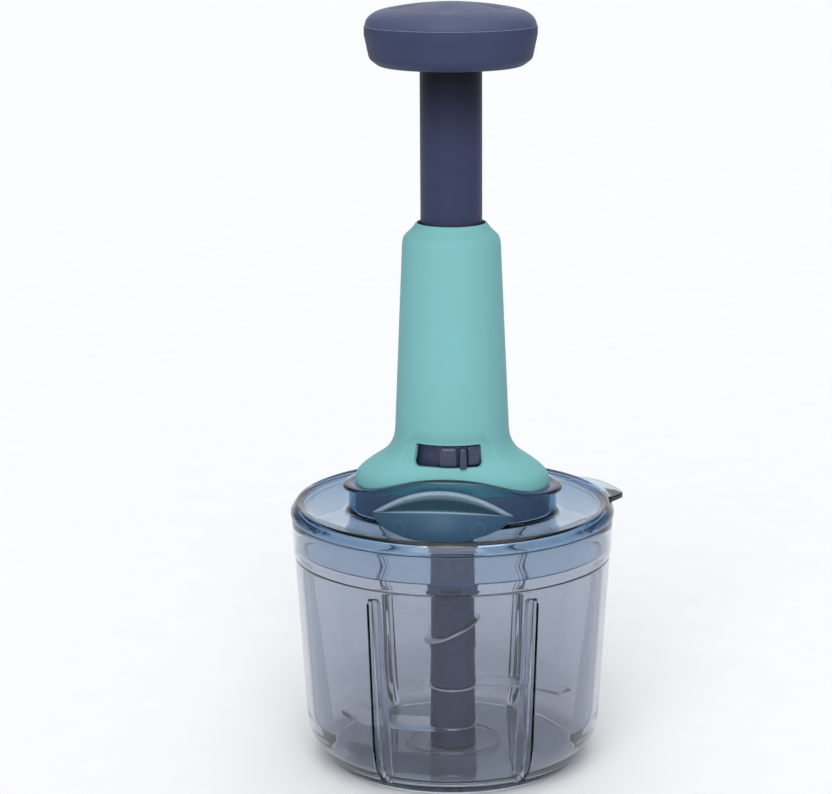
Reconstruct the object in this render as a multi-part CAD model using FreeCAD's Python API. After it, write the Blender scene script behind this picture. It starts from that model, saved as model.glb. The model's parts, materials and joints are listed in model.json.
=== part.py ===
import FreeCAD, Part
import math
import os

# Plunger food chopper. Millimetres, +Z up, front at -Y.
# The origin is the centre of the anti-slip foot's resting face.

V = FreeCAD.Vector

# ---- clearances -------------------------------------------------------
gap = 0.3           # between neighbours that move apart
run = 0.06          # radial running fit
snug = 0.1          # between pieces that are fixed together

# ---- bowl -------------------------------------------------------------
bowl_base_z = 1.5
bowl_base_r = 56.7
bowl_corner_r = 11.5
bowl_step_z = 100.0
bowl_step_r = 73.4
bowl_band = 0.5         # how far the rim band stands out
bowl_top_z = 117.2
bowl_flare = 1.0        # the rim's top is this much wider than the step
bowl_wall = 2.4
bowl_rim_wall = 2.2
bowl_step_rise = 1.2    # height of the sloping ledge inside the step
bowl_floor = 3.4
floor_ring_r = 21.5
floor_ring_w = 1.8
floor_ring_h = 1.6
pivot_boss_r = 6.0
pivot_boss_h = 3.2
rib_count = 6
rib_phase = 4.5         # degrees from +X to the first rib
rib_slot_w = 3.6
rib_depth_top = 6.2     # from the outside of the wall to the rib's inner face
rib_depth_low = 11.4
rib_top_z = 93.5
foot_inset = 0.7        # the foot pad stays this far inside the flat base
foot_h = 2.8

# ---- pivot pin --------------------------------------------------------
pin_r = 2.5
pin_top_z = 30.0

# ---- blade set --------------------------------------------------------
hub_r = 10.2
hub_swell = 0.6         # each spacer widens downwards by this
hub_foot_h = 8.4
blade_t = 1.2
blade_gap = 0.8         # between the blade tips' circle and the bowl's ribs
blade_root_w = 13.6
blade_ring_r = 13.0
blade_bevel = 3.0
blade_hook = 0.75       # how far the tip hooks back, as a share of the root's width
lower_blade_z = 13.8
middle_blade_z = 33.0
spacer_step_z = 51.4
upper_blade_z = 60.3
upper_ring_r = 15.0
upper_bank = -25.0
lower_azimuth = 172.0
middle_azimuth = -2.0
upper_azimuth = 92.0
core_r = 6.0
core_flat = 4.8
core_top_z = 74.0
hub_flange_r = 12.7
hub_flange_z = 77.4
hub_flange_t = 0.8
dog_count = 4
dog_h = 5.2
dog_share = 0.46        # part of each pitch that a dog fills
dog_out_r = 11.6
dog_in_r = 7.6

# ---- lid --------------------------------------------------------------
lid_overhang = 0.6      # beyond the bowl's rim
lid_t = 2.2
lid_brow = 4.6          # from the lid's edge in to its crest
lid_crest_z = 123.6
lid_crest_bend = 2.0    # how far the crest's curve reaches in towards the dish
lid_edge_h = 2.4        # upright band at the lid's edge
dish_inset = 12.0       # from the lid's edge in to the flat dish
dish_z = 118.6
skirt_depth = 13.4
skirt_t = 2.0
lid_hole_r = 13.0
lid_sleeve_t = 1.8
lid_sleeve_z = 106.0
under_ring_r = 22.0     # low ring round the sleeve, under the dish
under_ring_h = 2.2
tab_out = 10.0          # beyond the lid's edge
tab_r = 33.0
tab_azimuth = 27.0
tab_t = 2.4

# ---- oval collar, its wavy rim and the thumb ledge --------------------
collar_a = 48.2
collar_b = 33.0
collar_t = 2.6
rim_a = 51.0
rim_b = 35.2
rim_t = 1.7
wave_crown_z = 141.0
wave_low_z = 131.6
ledge_half = 32.0
ledge_back_y = -25.0
ledge_nose_y = -52.0
ledge_foot_y = -56.0
ledge_end_z = 124.5
ledge_nose_z = 131.6
ledge_back_z = 139.0
ledge_t = 2.0

# ---- mint housing -----------------------------------------------------
neck_r = 15.5           # opening that the tube passes through
neck_z = 253.2
shoulder_r = 22.2
shoulder_z = 246.8
flare_z = 158.0
flare_r = 26.2
flare_bends = ((0.24, 0.07), (0.44, 0.26), (0.64, 0.66), (0.82, 0.93))  # shares of drop and spread
skirt_low_z = 133.0
skirt_end_z = 131.6     # flat lower edge of the shell, inside the collar
shell_t = 2.2
bush_h = 11.0
boss_r = 3.4
boss_x = 35.0

# ---- base of the drive unit -------------------------------------------
base_floor_t = 3.2
base_wall = 3.0
post_r = 3.0
post_ring_r = 21.5
post_count = 3
plate_t = 2.4
plate_r = 25.0
plate_hole_r = 9.2

# ---- screws -----------------------------------------------------------
screw_r = 1.5
screw_head_r = 2.9
screw_head_h = 1.8
screw_sink = 0.2        # heads lie this far below the face
screw_bite = 7.0        # length of the plate screws' thread in the posts
knob_bite = 8.0
dog_bite = 10.0

# ---- clutch and output ------------------------------------------------
shaft_r = 10.1
sleeve_r = 12.3
sleeve_low_z = 108.0
washer_t = 0.6
washer_r = 16.0
cup_r = 17.0
cup_t = 2.0
cup_floor_t = 2.4
cup_h = 9.0
collar_top_z = 89.6     # top of the castellated dog
collar_low_z = 78.6
collar_r = 12.0
ratchet_r = 10.6
ratchet_root_r = 9.2
ratchet_teeth = 12
ratchet_h = 4.6
pawl_count = 3

# ---- drive screw, nut and plunger -------------------------------------
lead = 40.0             # travel for one turn
lobes = 4
lobe_out_r = 8.0
lobe_in_r = 6.3
thread_fit = 0.3
journal_r = 9.0
screw_top_z = 232.0
stroke = 60.0
tube_r = 14.0
tube_t = 1.8
nut_low_z = 210.0
nut_flange_h = 6.3
nut_groove_h = 4.7
nut_groove_r = 11.3
nut_top_h = 2.6
nut_spigot_h = 3.0
tube_in_knob = 11.6     # how far the tube goes up into the knob
tube_cap_t = 3.0
spring_wire_r = 0.65
spring_r = 9.6
spring_turns = 8

# ---- lock slider ------------------------------------------------------
window_half = 34.8      # degrees each side of the front
window_low_z = 145.1
window_high_z = 155.2
window_corner = 2.4
guide_r = 22.5
guide_t = 1.6
guide_top_z = 156.6
lock_plate_t = 0.8
lock_turn = 26.0        # degrees from open to locked
lock_width = 42.2       # degrees of the visible button
lock_ring_t = 3.4
lock_ring_r = 19.0
tooth_in_r = 11.7
tooth_half = 12.0       # degrees each side
tooth_count = 2

# ---- knob -------------------------------------------------------------
knob_r = 38.6
knob_taper = 1.7        # the cup is this much narrower at its foot
knob_low_z = 323.4
knob_edge_r = 3.0
cup_depth = 18.0
dome_brow = 5.6         # from the knob's edge in to the foot of its crown
dome_brow_h = 6.5
dome_rise = 10.4        # apex above the seam
knob_t = 2.4
knob_lip_h = 3.0
knob_web_t = 2.8
knob_boss_r = 5.0
cover_t = 2.4
seat_t = 1.2
pin_top_h = 2.0


# ---- helpers ----------------------------------------------------------
def export(shape, name):
    shape.exportStep("parts/" + name + ".step")


def cyl(r, z0, z1, x=0.0, y=0.0):
    return Part.makeCylinder(r, z1 - z0, V(x, y, z0))


def ring(r_out, r_in, z0, z1):
    return cyl(r_out, z0, z1).cut(cyl(r_in, z0 - 1, z1 + 1))


def polar(r, degrees, z=0.0):
    a = math.radians(degrees)
    return V(r * math.cos(a), r * math.sin(a), z)


def turned(shape, degrees):
    out = shape.copy()
    out.rotate(V(0, 0, 0), V(0, 0, 1), degrees)
    return out


def line(p, q):
    return Part.LineSegment(V(*p), V(*q)).toShape()


def arc(p, m, q):
    return Part.Arc(V(*p), V(*m), V(*q)).toShape()


def bezier(points):
    curve = Part.BezierCurve()
    curve.setPoles([V(*p) for p in points])
    return curve.toShape()


def lathe(edges):
    """Full turn about Z of a closed outline in the XZ plane."""
    face = Part.Face(Part.Wire(edges))
    return face.revolve(V(0, 0, 0), V(0, 0, 1), 360)


def oval(a, b, z0, z1):
    ellipse = Part.Ellipse(V(0, 0, z0), a, b).toShape()
    return Part.Face(Part.Wire([ellipse])).extrude(V(0, 0, z1 - z0))


def sector(r_out, r_in, z0, z1, mid, half):
    """Piece of a ring, half degrees each side of the direction mid."""
    a = Part.makeCylinder(r_out, z1 - z0, V(0, 0, z0), V(0, 0, 1), 2 * half)
    b = cyl(r_in, z0 - 1, z1 + 1)
    return turned(a, mid - half).cut(b)


def screw(x, y, z_head, z_end, head_up=True):
    """Plain screw on a vertical axis; its head sits on z_head."""
    way = 1 if head_up else -1
    head = Part.makeCylinder(screw_head_r, screw_head_h, V(x, y, z_head), V(0, 0, way))
    shank = Part.makeCylinder(screw_r, abs(z_end - z_head), V(x, y, z_head), V(0, 0, -way))
    slot_a = Part.makeBox(3.4, 0.7, 2, V(x - 1.7, y - 0.35, z_head + way * screw_head_h - 1))
    slot_b = Part.makeBox(0.7, 3.4, 2, V(x - 0.35, y - 1.7, z_head + way * screw_head_h - 1))
    return head.fuse(shank).cut(slot_a.fuse(slot_b)).removeSplitter()


# ---- shared places ----------------------------------------------------
bowl_top_r = bowl_step_r + bowl_flare
bowl_side_r = bowl_base_r + bowl_corner_r
bowl_side_z = bowl_base_z + bowl_corner_r
foot_r = bowl_base_r - foot_inset
blade_len = bowl_side_r - rib_depth_low - blade_gap
lid_r = bowl_top_r + lid_overhang
lid_crest_r = lid_r - lid_brow
dish_r = lid_r - dish_inset
bowl_floor_z = bowl_base_z + bowl_floor
pivot_boss_z = bowl_floor_z + pivot_boss_h
lid_low_z = bowl_top_z + gap
rim_inner_r = bowl_top_r - bowl_rim_wall
lid_skirt_r = rim_inner_r - gap
collar_in_a = collar_a - collar_t
collar_in_b = collar_b - collar_t
base_a = collar_in_a - 2 * gap
base_b = collar_in_b - 2 * gap
base_z = dish_z + gap
base_floor_z = base_z + base_floor_t
cup_z = base_floor_z + washer_t + snug
cup_floor_z = cup_z + cup_floor_t
cup_top_z = cup_z + cup_h
plate_z = cup_top_z + gap
plate_top_z = plate_z + plate_t
tray_in_a = base_a - base_wall
tray_in_b = base_b - base_wall
head_seat_z = base_z + screw_head_h + screw_sink
bush_top_z = shoulder_z + 0.2
knob_low_r = knob_r - knob_taper
seam_z = knob_low_z + cup_depth
dome_z = seam_z + dome_rise
dome_shoulder_r = knob_r - dome_brow
dome_shoulder_z = seam_z + dome_brow_h
tube_top_z = knob_low_z + tube_in_knob
bush_r = shoulder_r - shell_t - snug


# ---- bowl -------------------------------------------------------------
def bowl_outer():
    s = bowl_corner_r * math.sqrt(0.5)
    side = (bowl_side_r, 0, bowl_side_z)
    step = (bowl_step_r, 0, bowl_step_z)
    band = (bowl_step_r + bowl_band, 0, bowl_step_z + bowl_band)
    return lathe([
        line((0, 0, bowl_base_z), (bowl_base_r, 0, bowl_base_z)),
        arc((bowl_base_r, 0, bowl_base_z), (bowl_base_r + s, 0, bowl_side_z - s), side),
        line(side, step),
        line(step, band),
        line(band, (bowl_top_r, 0, bowl_top_z)),
        line((bowl_top_r, 0, bowl_top_z), (0, 0, bowl_top_z)),
        line((0, 0, bowl_top_z), (0, 0, bowl_base_z))])


def bowl_inner():
    side_r = bowl_side_r - bowl_wall
    bevel = bowl_corner_r - bowl_wall
    ledge = (bowl_step_r - bowl_wall, 0, bowl_step_z - bowl_step_rise)
    top = bowl_top_z + 1
    return lathe([
        line((0, 0, bowl_floor_z), (side_r - bevel, 0, bowl_floor_z)),
        line((side_r - bevel, 0, bowl_floor_z), (side_r, 0, bowl_floor_z + bevel)),
        line((side_r, 0, bowl_floor_z + bevel), ledge),
        line(ledge, (rim_inner_r, 0, bowl_step_z)),
        line((rim_inner_r, 0, bowl_step_z), (rim_inner_r, 0, top)),
        line((rim_inner_r, 0, top), (0, 0, top)),
        line((0, 0, top), (0, 0, bowl_floor_z))])


def rib_bar(width, inset, top_z):
    """Round-topped radial bar whose inner face leans from the rib's top in to the bowl's corner."""
    head_r = bowl_step_r - rib_depth_top + inset
    foot_r = bowl_side_r - rib_depth_low + inset
    lean = (head_r - foot_r) / (bowl_step_z - bowl_side_z)
    low = -bowl_side_z
    face_r = foot_r + lean * (low - bowl_side_z)
    h = top_z - low - width / 2
    flat = [line((0, -width / 2, 0), (0, width / 2, 0)),
            line((0, width / 2, 0), (0, width / 2, h)),
            arc((0, width / 2, h), (0, 0, h + width / 2), (0, -width / 2, h)),
            line((0, -width / 2, h), (0, -width / 2, 0))]
    bar = Part.Face(Part.Wire(flat)).extrude(V(bowl_step_r, 0, 0))
    bar.rotate(V(0, 0, 0), V(0, 1, 0), math.degrees(math.atan(lean)))
    bar.translate(V(face_r, 0, low))
    return bar


def around(shape, count, phase):
    return [turned(shape, phase + 360.0 * i / count) for i in range(count)]


def bowl():
    ribs = around(rib_bar(rib_slot_w + 2 * bowl_wall, 0, rib_top_z + bowl_wall), rib_count, rib_phase)
    slots = around(rib_bar(rib_slot_w, bowl_wall, rib_top_z), rib_count, rib_phase)
    hollow = bowl_inner().cut(Part.makeCompound(ribs))
    ring_out = floor_ring_r + floor_ring_w / 2
    ring_in = floor_ring_r - floor_ring_w / 2
    hollow = hollow.cut(ring(ring_out, ring_in, bowl_floor_z - 1, bowl_floor_z + floor_ring_h))
    hollow = hollow.cut(cyl(pivot_boss_r, bowl_floor_z - 1, pivot_boss_z))
    body = bowl_outer().cut(hollow).cut(Part.makeCompound(slots))
    body = body.cut(foot_pad())
    return body.cut(cyl(pin_r, foot_h, pivot_boss_z + 1))


def foot_pad():
    """Soft disc in a shallow recess of the base; the chopper stands on it."""
    return cyl(foot_r, 0, foot_h)


def pivot_pin():
    pin = cyl(pin_r, foot_h, pin_top_z)
    return pin.makeChamfer(0.6, [e for e in pin.Edges if e.BoundBox.ZMin > pin_top_z - 0.1])


# ---- blade set --------------------------------------------------------
def core(grow, z0, z1):
    """Square-shouldered core that keys the blades and spacers together."""
    flats = Part.makeBox(4 * core_r, 2 * (core_flat + grow), z1 - z0,
                         V(-2 * core_r, -core_flat - grow, z0))
    return cyl(core_r + grow, z0, z1).common(flats)


def bank_plane(z):
    """Half space above the tilted seat of the upper blade."""
    reach = 4 * hub_r
    box = Part.makeBox(2 * reach, 2 * reach, reach, V(-reach, -reach, 0))
    box.rotate(V(0, 0, 0), V(1, 0, 0), upper_bank)
    box.rotate(V(0, 0, 0), V(0, 0, 1), upper_azimuth)
    box.translate(V(0, 0, z))
    return box


def spacer(z0, z1):
    return Part.makeCone(hub_r + hub_swell, hub_r, z1 - z0, V(0, 0, z0))


def hub_base():
    foot_z = lower_blade_z - hub_foot_h
    body = spacer(foot_z, lower_blade_z)
    body = body.fuse(core(0, lower_blade_z - 1, core_top_z))
    body = body.cut(cyl(pivot_boss_r + 2 * gap, foot_z - 1, pivot_boss_z + gap))
    return body.cut(cyl(pin_r + run, foot_z - 1, pin_top_z + 2)).removeSplitter()


def lower_spacer():
    body = spacer(lower_blade_z + blade_t, middle_blade_z)
    return body.cut(core(snug, 0, core_top_z))


def middle_spacer():
    body = spacer(middle_blade_z + blade_t, spacer_step_z)
    return body.cut(core(snug, 0, core_top_z))


def upper_spacer():
    body = spacer(spacer_step_z, upper_blade_z + 12)
    return body.cut(bank_plane(upper_blade_z)).cut(core(snug, 0, core_top_z))


def dogs(z0, z1, r_out, r_in, offset, share):
    pitch = 360.0 / dog_count
    return [sector(r_out, r_in, z0, z1, offset + i * pitch, share * pitch / 2)
            for i in range(dog_count)]


def hub_head():
    seat = bank_plane(upper_blade_z + blade_t / math.cos(math.radians(upper_bank)))
    body = cyl(hub_r, spacer_step_z, hub_flange_z).common(seat)
    body = body.fuse(cyl(hub_flange_r, hub_flange_z, hub_flange_z + hub_flange_t))
    teeth = dogs(hub_flange_z, hub_flange_z + hub_flange_t + dog_h, dog_out_r, dog_in_r, 0, dog_share)
    body = body.fuse(teeth).removeSplitter()
    return body.cut(core(snug, 0, core_top_z + snug))


def blade_outline(bevel, z):
    """Sickle along +X: bowed cutting edge on +Y, hooked two-cornered tip, hollow back."""
    w = blade_root_w
    root = (0, -0.25 * w, z)
    start = (0, w - bevel, z)
    shoulder = (0.42 * blade_len, w - bevel, z)
    bow = (0.78 * blade_len, 0.7 * w - bevel, z)
    tip = (blade_len - 0.3 * bevel, -0.22 * w, z)
    hook = (0.9 * blade_len, -blade_hook * w, z)
    back = (0.7 * blade_len, -0.3 * w, z)
    waist = (0.5 * blade_len, -0.09 * w, z)
    return Part.Wire([line(root, start), line(start, shoulder), arc(shoulder, bow, tip),
                      line(tip, hook), arc(hook, back, waist), line(waist, root)])


def blade_flat(ring_r):
    """Blade with a ground cutting edge and a round root ring."""
    land = blade_t * 0.25
    blade = Part.Face(blade_outline(0, 0)).extrude(V(0, 0, land))
    ground = Part.makeLoft([blade_outline(0, land), blade_outline(blade_bevel, blade_t)], True, True)
    return blade.fuse([ground, cyl(ring_r, 0, blade_t)]).removeSplitter()


def level_blade(z, azimuth):
    blade = turned(blade_flat(blade_ring_r), azimuth)
    blade.translate(V(0, 0, z))
    return blade.cut(core(snug, 0, core_top_z))


def upper_blade():
    blade = blade_flat(upper_ring_r)
    blade.rotate(V(0, 0, 0), V(1, 0, 0), upper_bank)
    blade = turned(blade, upper_azimuth)
    blade.translate(V(0, 0, upper_blade_z))
    return blade.cut(core(snug, 0, core_top_z))


# ---- lid --------------------------------------------------------------
def wave_prism(a, rise, low):
    """Everything below the wavy line, which falls from its crown at x=0 to x=+-a."""
    top = wave_crown_z + rise
    end = wave_low_z + rise
    right = bezier([(0, 0, top), (0.45 * a, 0, top), (0.55 * a, 0, end), (a, 0, end)])
    left = bezier([(-a, 0, end), (-0.55 * a, 0, end), (-0.45 * a, 0, top), (0, 0, top)])
    wide = 1.5 * a
    edges = [left, right, line((a, 0, end), (wide, 0, end)), line((wide, 0, end), (wide, 0, low)),
             line((wide, 0, low), (-wide, 0, low)), line((-wide, 0, low), (-wide, 0, end)),
             line((-wide, 0, end), (-a, 0, end))]
    face = Part.Face(Part.Wire(Part.__sortEdges__(edges)))
    face.translate(V(0, -wide, 0))
    return face.extrude(V(0, 2 * wide, 0))


def lid_shell():
    in_r = lid_skirt_r - skirt_t
    low_z = dish_z - lid_t
    skirt_low = lid_low_z - skirt_depth
    brow_z = lid_low_z + lid_edge_h
    slope = (lid_crest_r - lid_crest_bend, 0, lid_crest_z - 0.4 * lid_crest_bend)
    return lathe([
        line((0, 0, dish_z), (dish_r, 0, dish_z)),
        line((dish_r, 0, dish_z), slope),
        arc(slope, (lid_crest_r, 0, lid_crest_z), (lid_r, 0, brow_z)),
        line((lid_r, 0, brow_z), (lid_r, 0, lid_low_z)),
        line((lid_r, 0, lid_low_z), (lid_skirt_r, 0, lid_low_z)),
        line((lid_skirt_r, 0, lid_low_z), (lid_skirt_r, 0, skirt_low)),
        line((lid_skirt_r, 0, skirt_low), (in_r, 0, skirt_low)),
        line((in_r, 0, skirt_low), (in_r, 0, lid_crest_z - 1.8 * lid_t)),
        line((in_r, 0, lid_crest_z - 1.8 * lid_t), (dish_r + lid_t, 0, low_z)),
        line((dish_r + lid_t, 0, low_z), (0, 0, low_z)),
        line((0, 0, low_z), (0, 0, dish_z))])


def ledge_solid(inset):
    """Lens-shaped nose between three curves that share its two corners."""
    half = ledge_half - 1.5 * inset
    back_y = ledge_back_y
    end_z = ledge_end_z - inset
    low_z = dish_z - lid_t - 2 * inset

    def bow(y, z, y_end, z_end):
        return bezier([(-half, y_end, z_end), (0, 2 * y - y_end, 2 * z - z_end), (half, y_end, z_end)])
    back = bow(back_y, ledge_back_z - inset, back_y, end_z)
    nose = bow(ledge_nose_y + inset, ledge_nose_z - inset, back_y, end_z)
    foot = bow(ledge_foot_y + inset, low_z, back_y, low_z)
    faces = [Part.makeRuledSurface(back, nose), Part.makeRuledSurface(nose, foot)]
    left = line((-half, back_y, end_z), (-half, back_y, low_z))
    right = line((half, back_y, end_z), (half, back_y, low_z))
    chord = line((-half, back_y, low_z), (half, back_y, low_z))
    faces.append(Part.Face(Part.Wire(Part.__sortEdges__([back, left, chord, right]))))
    faces.append(Part.Face(Part.Wire(Part.__sortEdges__([foot, chord]))))
    shell = Part.Shell(faces)
    shell.sewShape()
    solid = Part.Solid(shell)
    if solid.Volume < 0:
        solid.reverse()
    blunt = half - 0.3
    return solid.common(Part.makeBox(2 * blunt, lid_r, lid_r, V(-blunt, -lid_r, low_z - 1)))


def tab():
    c = polar(lid_r + tab_out - tab_r, tab_azimuth)
    z0 = lid_low_z + 1.6
    disc = cyl(tab_r, z0, z0 + tab_t, c.x, c.y)
    return disc.cut(cyl(lid_skirt_r, z0 - 1, z0 + tab_t + 1))


def lid():
    body = lid_shell().fuse(cyl(lid_hole_r + lid_sleeve_t, lid_sleeve_z, dish_z - 0.5))
    body = body.fuse(cyl(under_ring_r, dish_z - lid_t - under_ring_h, dish_z - 0.5))
    wall = oval(collar_a, collar_b, dish_z - 0.5, wave_crown_z + 5).common(wave_prism(rim_a, 0, 90))
    slab = wave_prism(rim_a, 0, 90).cut(wave_prism(rim_a, -rim_t, 80))
    flange = oval(rim_a, rim_b, dish_z, wave_crown_z + 5).common(slab)
    inside = oval(collar_in_a, collar_in_b, dish_z, wave_crown_z + 10)
    body = body.fuse([wall, flange, ledge_solid(0), tab()])
    pocket = ledge_solid(ledge_t).cut(oval(collar_a, collar_b, 90, wave_crown_z + 10))
    body = body.cut(inside).cut(pocket)
    body = body.cut(cyl(lid_hole_r, 90, dish_z + 1))
    return body.removeSplitter()


# ---- mint housing -----------------------------------------------------
def flare(inset, z_low, plain=False):
    """Loft from the round column to the oval skirt; inset shrinks every section."""
    wires = []
    for drop, spread in ((0, 0),) + flare_bends + ((1, 1),):
        a = flare_r + (base_a - flare_r) * spread - inset
        b = flare_r + (base_b - flare_r) * spread - inset
        wires.append(section(a, b, flare_z + (skirt_low_z - flare_z) * drop))
    top = Part.makeLoft(wires, True, plain)
    return top.fuse(oval(base_a - inset, base_b - inset, z_low, skirt_low_z))


def section(a, b, z):
    if a == b:
        return Part.Wire([Part.Circle(V(0, 0, z), V(0, 0, 1), a).toShape()])
    return Part.Wire([Part.Ellipse(V(0, 0, z), a, b).toShape()])


def column(inset, z_top):
    edge = shoulder_z - 3.0
    return lathe([
        line((0, 0, flare_z), (flare_r - inset, 0, flare_z)),
        line((flare_r - inset, 0, flare_z), (shoulder_r + 0.2 - inset, 0, edge)),
        line((shoulder_r + 0.2 - inset, 0, edge), (shoulder_r - inset, 0, z_top)),
        line((shoulder_r - inset, 0, z_top), (0, 0, z_top)),
        line((0, 0, z_top), (0, 0, flare_z))])


def window():
    outer = sector(flare_r + 20, guide_r, window_low_z, window_high_z, -90, window_half)
    tall = [e for e in outer.Edges if e.BoundBox.ZLength < 0.01 and e.BoundBox.ZMin < window_low_z + 0.01
            and abs(e.Length - (flare_r + 20 - guide_r)) < 0.01]
    return outer.makeFillet(window_corner, tall)


def housing():
    cap = Part.makeCone(shoulder_r, neck_r, neck_z - shoulder_z, V(0, 0, shoulder_z))
    outer = column(0, shoulder_z).fuse([flare(0, skirt_end_z), cap])
    inner = column(shell_t, shoulder_z + 0.2).fuse(flare(shell_t, skirt_end_z - 1, True))
    shell = outer.cut(inner)
    for side in (-1, 1):
        post = cyl(boss_r, base_floor_z + gap, skirt_low_z + 15, side * boss_x, 0)
        post = post.common(flare(shell_t - 0.5, 100))
        shell = shell.fuse(post)
        shell = shell.cut(cyl(screw_r, base_z, skirt_low_z + 2, side * boss_x, 0))
    shell = shell.cut(cyl(neck_r, shoulder_z - 1, neck_z + 1))
    return shell.cut(window()).removeSplitter()


def guide_bush():
    return ring(bush_r, tube_r + run, bush_top_z - bush_h, bush_top_z)


# ---- base of the drive unit -------------------------------------------
def posts():
    return [turned(cyl(post_r, base_floor_z - 0.5, plate_z, post_ring_r, 0), 30 + 360.0 * i / post_count)
            for i in range(post_count)]


def base_tray():
    wall = oval(base_a, base_b, base_z, skirt_end_z - snug)
    hollow = oval(tray_in_a, tray_in_b, base_floor_z, skirt_end_z)
    body = wall.cut(hollow).fuse(posts())
    body = body.cut(cyl(sleeve_r, base_z - 1, base_floor_z + 1))
    for i in range(post_count):
        hole = turned(cyl(screw_r, plate_z - screw_bite - gap, plate_z + 1, post_ring_r, 0),
                      30 + 360.0 * i / post_count)
        body = body.cut(hole)
    for side in (-1, 1):
        body = body.cut(cyl(screw_r + snug, base_z - 1, base_floor_z + 1, side * boss_x, 0))
        body = body.cut(cyl(screw_head_r + snug, base_z - 1, head_seat_z, side * boss_x, 0))
    return body.removeSplitter()


def output_sleeve():
    return ring(sleeve_r, shaft_r + run, sleeve_low_z, base_floor_z)


def thrust_washer():
    return ring(washer_r, shaft_r + snug, base_floor_z, base_floor_z + washer_t)


def bearing_plate():
    plate = ring(plate_r, plate_hole_r, plate_z, plate_top_z)
    plate = plate.common(oval(tray_in_a - snug, tray_in_b - snug, plate_z, plate_top_z))
    holes = [turned(cyl(screw_r + snug, plate_z - 1, plate_top_z + 1, post_ring_r, 0), 30 + 360.0 * i / post_count)
             for i in range(post_count)]
    return plate.cut(Part.makeCompound(holes))


def plate_screws():
    out = []
    for i in range(post_count):
        p = polar(post_ring_r, 30 + 360.0 * i / post_count)
        out.append(screw(p.x, p.y, plate_top_z, plate_z - screw_bite))
    return Part.makeCompound(out)


def housing_screws():
    return Part.makeCompound([screw(side * boss_x, 0, head_seat_z, skirt_low_z + 1, False) for side in (-1, 1)])


# ---- clutch and output ------------------------------------------------
def output_shaft():
    body = cyl(shaft_r, collar_top_z, cup_z + 1).fuse(cyl(cup_r, cup_z, cup_top_z))
    body = body.cut(cyl(cup_r - cup_t, cup_floor_z, cup_top_z + 1))
    body = body.cut(cyl(screw_r, collar_top_z - 1, collar_top_z + dog_bite + gap))
    return body.removeSplitter()


def drive_dog():
    body = cyl(collar_r, collar_low_z + dog_h, collar_top_z)
    teeth = dogs(collar_low_z, collar_low_z + dog_h + 1, collar_r, dog_in_r, 45, dog_share)
    body = body.fuse(teeth)
    return body.cut(cyl(screw_r + snug, collar_low_z, collar_top_z + 1)).removeSplitter()


def dog_screw():
    return screw(0, 0, collar_low_z + dog_h, collar_top_z + dog_bite, False)


def ratchet_wheel():
    """Saw teeth whose steep flanks push one way only."""
    points = []
    pitch = 360.0 / ratchet_teeth
    for i in range(ratchet_teeth):
        points.append(polar(ratchet_root_r, i * pitch))
        points.append(polar(ratchet_r, (i + 0.92) * pitch))
    wire = Part.makePolygon(points + [points[0]])
    wheel = Part.Face(wire).extrude(V(0, 0, ratchet_h))
    wheel.translate(V(0, 0, cup_floor_z + gap))
    return wheel


def pawl_ring():
    """Ring pressed into the cup, with sprung arms that reach in to the ratchet."""
    r_out = cup_r - cup_t
    z0 = cup_floor_z + gap
    body = ring(r_out, r_out - 1.2, z0, z0 + ratchet_h)
    arms = []
    for i in range(pawl_count):
        arm = sector(ratchet_r + 1.5, ratchet_r + gap, z0, z0 + ratchet_h, 30 + 120 * i, 17)
        link = sector(r_out - 1, ratchet_r + gap, z0, z0 + ratchet_h, 44 + 120 * i, 3)
        arms += [arm, link]
    return body.fuse(arms).removeSplitter()


# ---- drive screw and nut ----------------------------------------------
def lobe_wire(grow):
    """Square profile with its corners turned down to the crest radius, around Z at z = 0."""
    crest_r = lobe_out_r + grow
    half = 180.0 / lobes
    corner = half - math.degrees(math.acos((lobe_in_r + grow) / crest_r))
    edges = []
    for i in range(lobes):
        a = i * 360.0 / lobes
        crest_end = polar(crest_r, a + corner)
        edges.append(Part.Arc(polar(crest_r, a - corner), polar(crest_r, a), crest_end).toShape())
        edges.append(Part.LineSegment(crest_end, polar(crest_r, a + 2 * half - corner)).toShape())
    return Part.Wire(edges)


def twisted(grow, z0, z1):
    """The lobed profile carried up Z, turning once in every lead."""
    height = z1 - z0
    spine = Part.Wire([Part.LineSegment(V(0, 0, z0), V(0, 0, z1)).toShape()])
    guide = Part.Wire(Part.makeHelix(lead, height, 20).Edges)
    start = 360.0 * z0 / lead
    guide.rotate(V(0, 0, 0), V(0, 0, 1), start)
    guide.translate(V(0, 0, z0))
    profile = lobe_wire(grow)
    profile.rotate(V(0, 0, 0), V(0, 0, 1), start)
    profile.translate(V(0, 0, z0))
    sweep = Part.BRepOffsetAPI.MakePipeShell(spine)
    sweep.setAuxiliarySpine(guide, True, 0)
    sweep.add(profile, False, False)
    sweep.build()
    sweep.makeSolid()
    return sweep.shape()


def drive_screw():
    body = twisted(0, plate_top_z + 1, screw_top_z - pin_top_h)
    body = body.fuse(cyl(journal_r, cup_floor_z + gap + ratchet_h - 0.5, plate_top_z + 1.5))
    body = body.fuse(ratchet_wheel())
    return body.fuse(cyl(lobe_in_r - 1, screw_top_z - pin_top_h - 1, screw_top_z)).removeSplitter()


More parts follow.
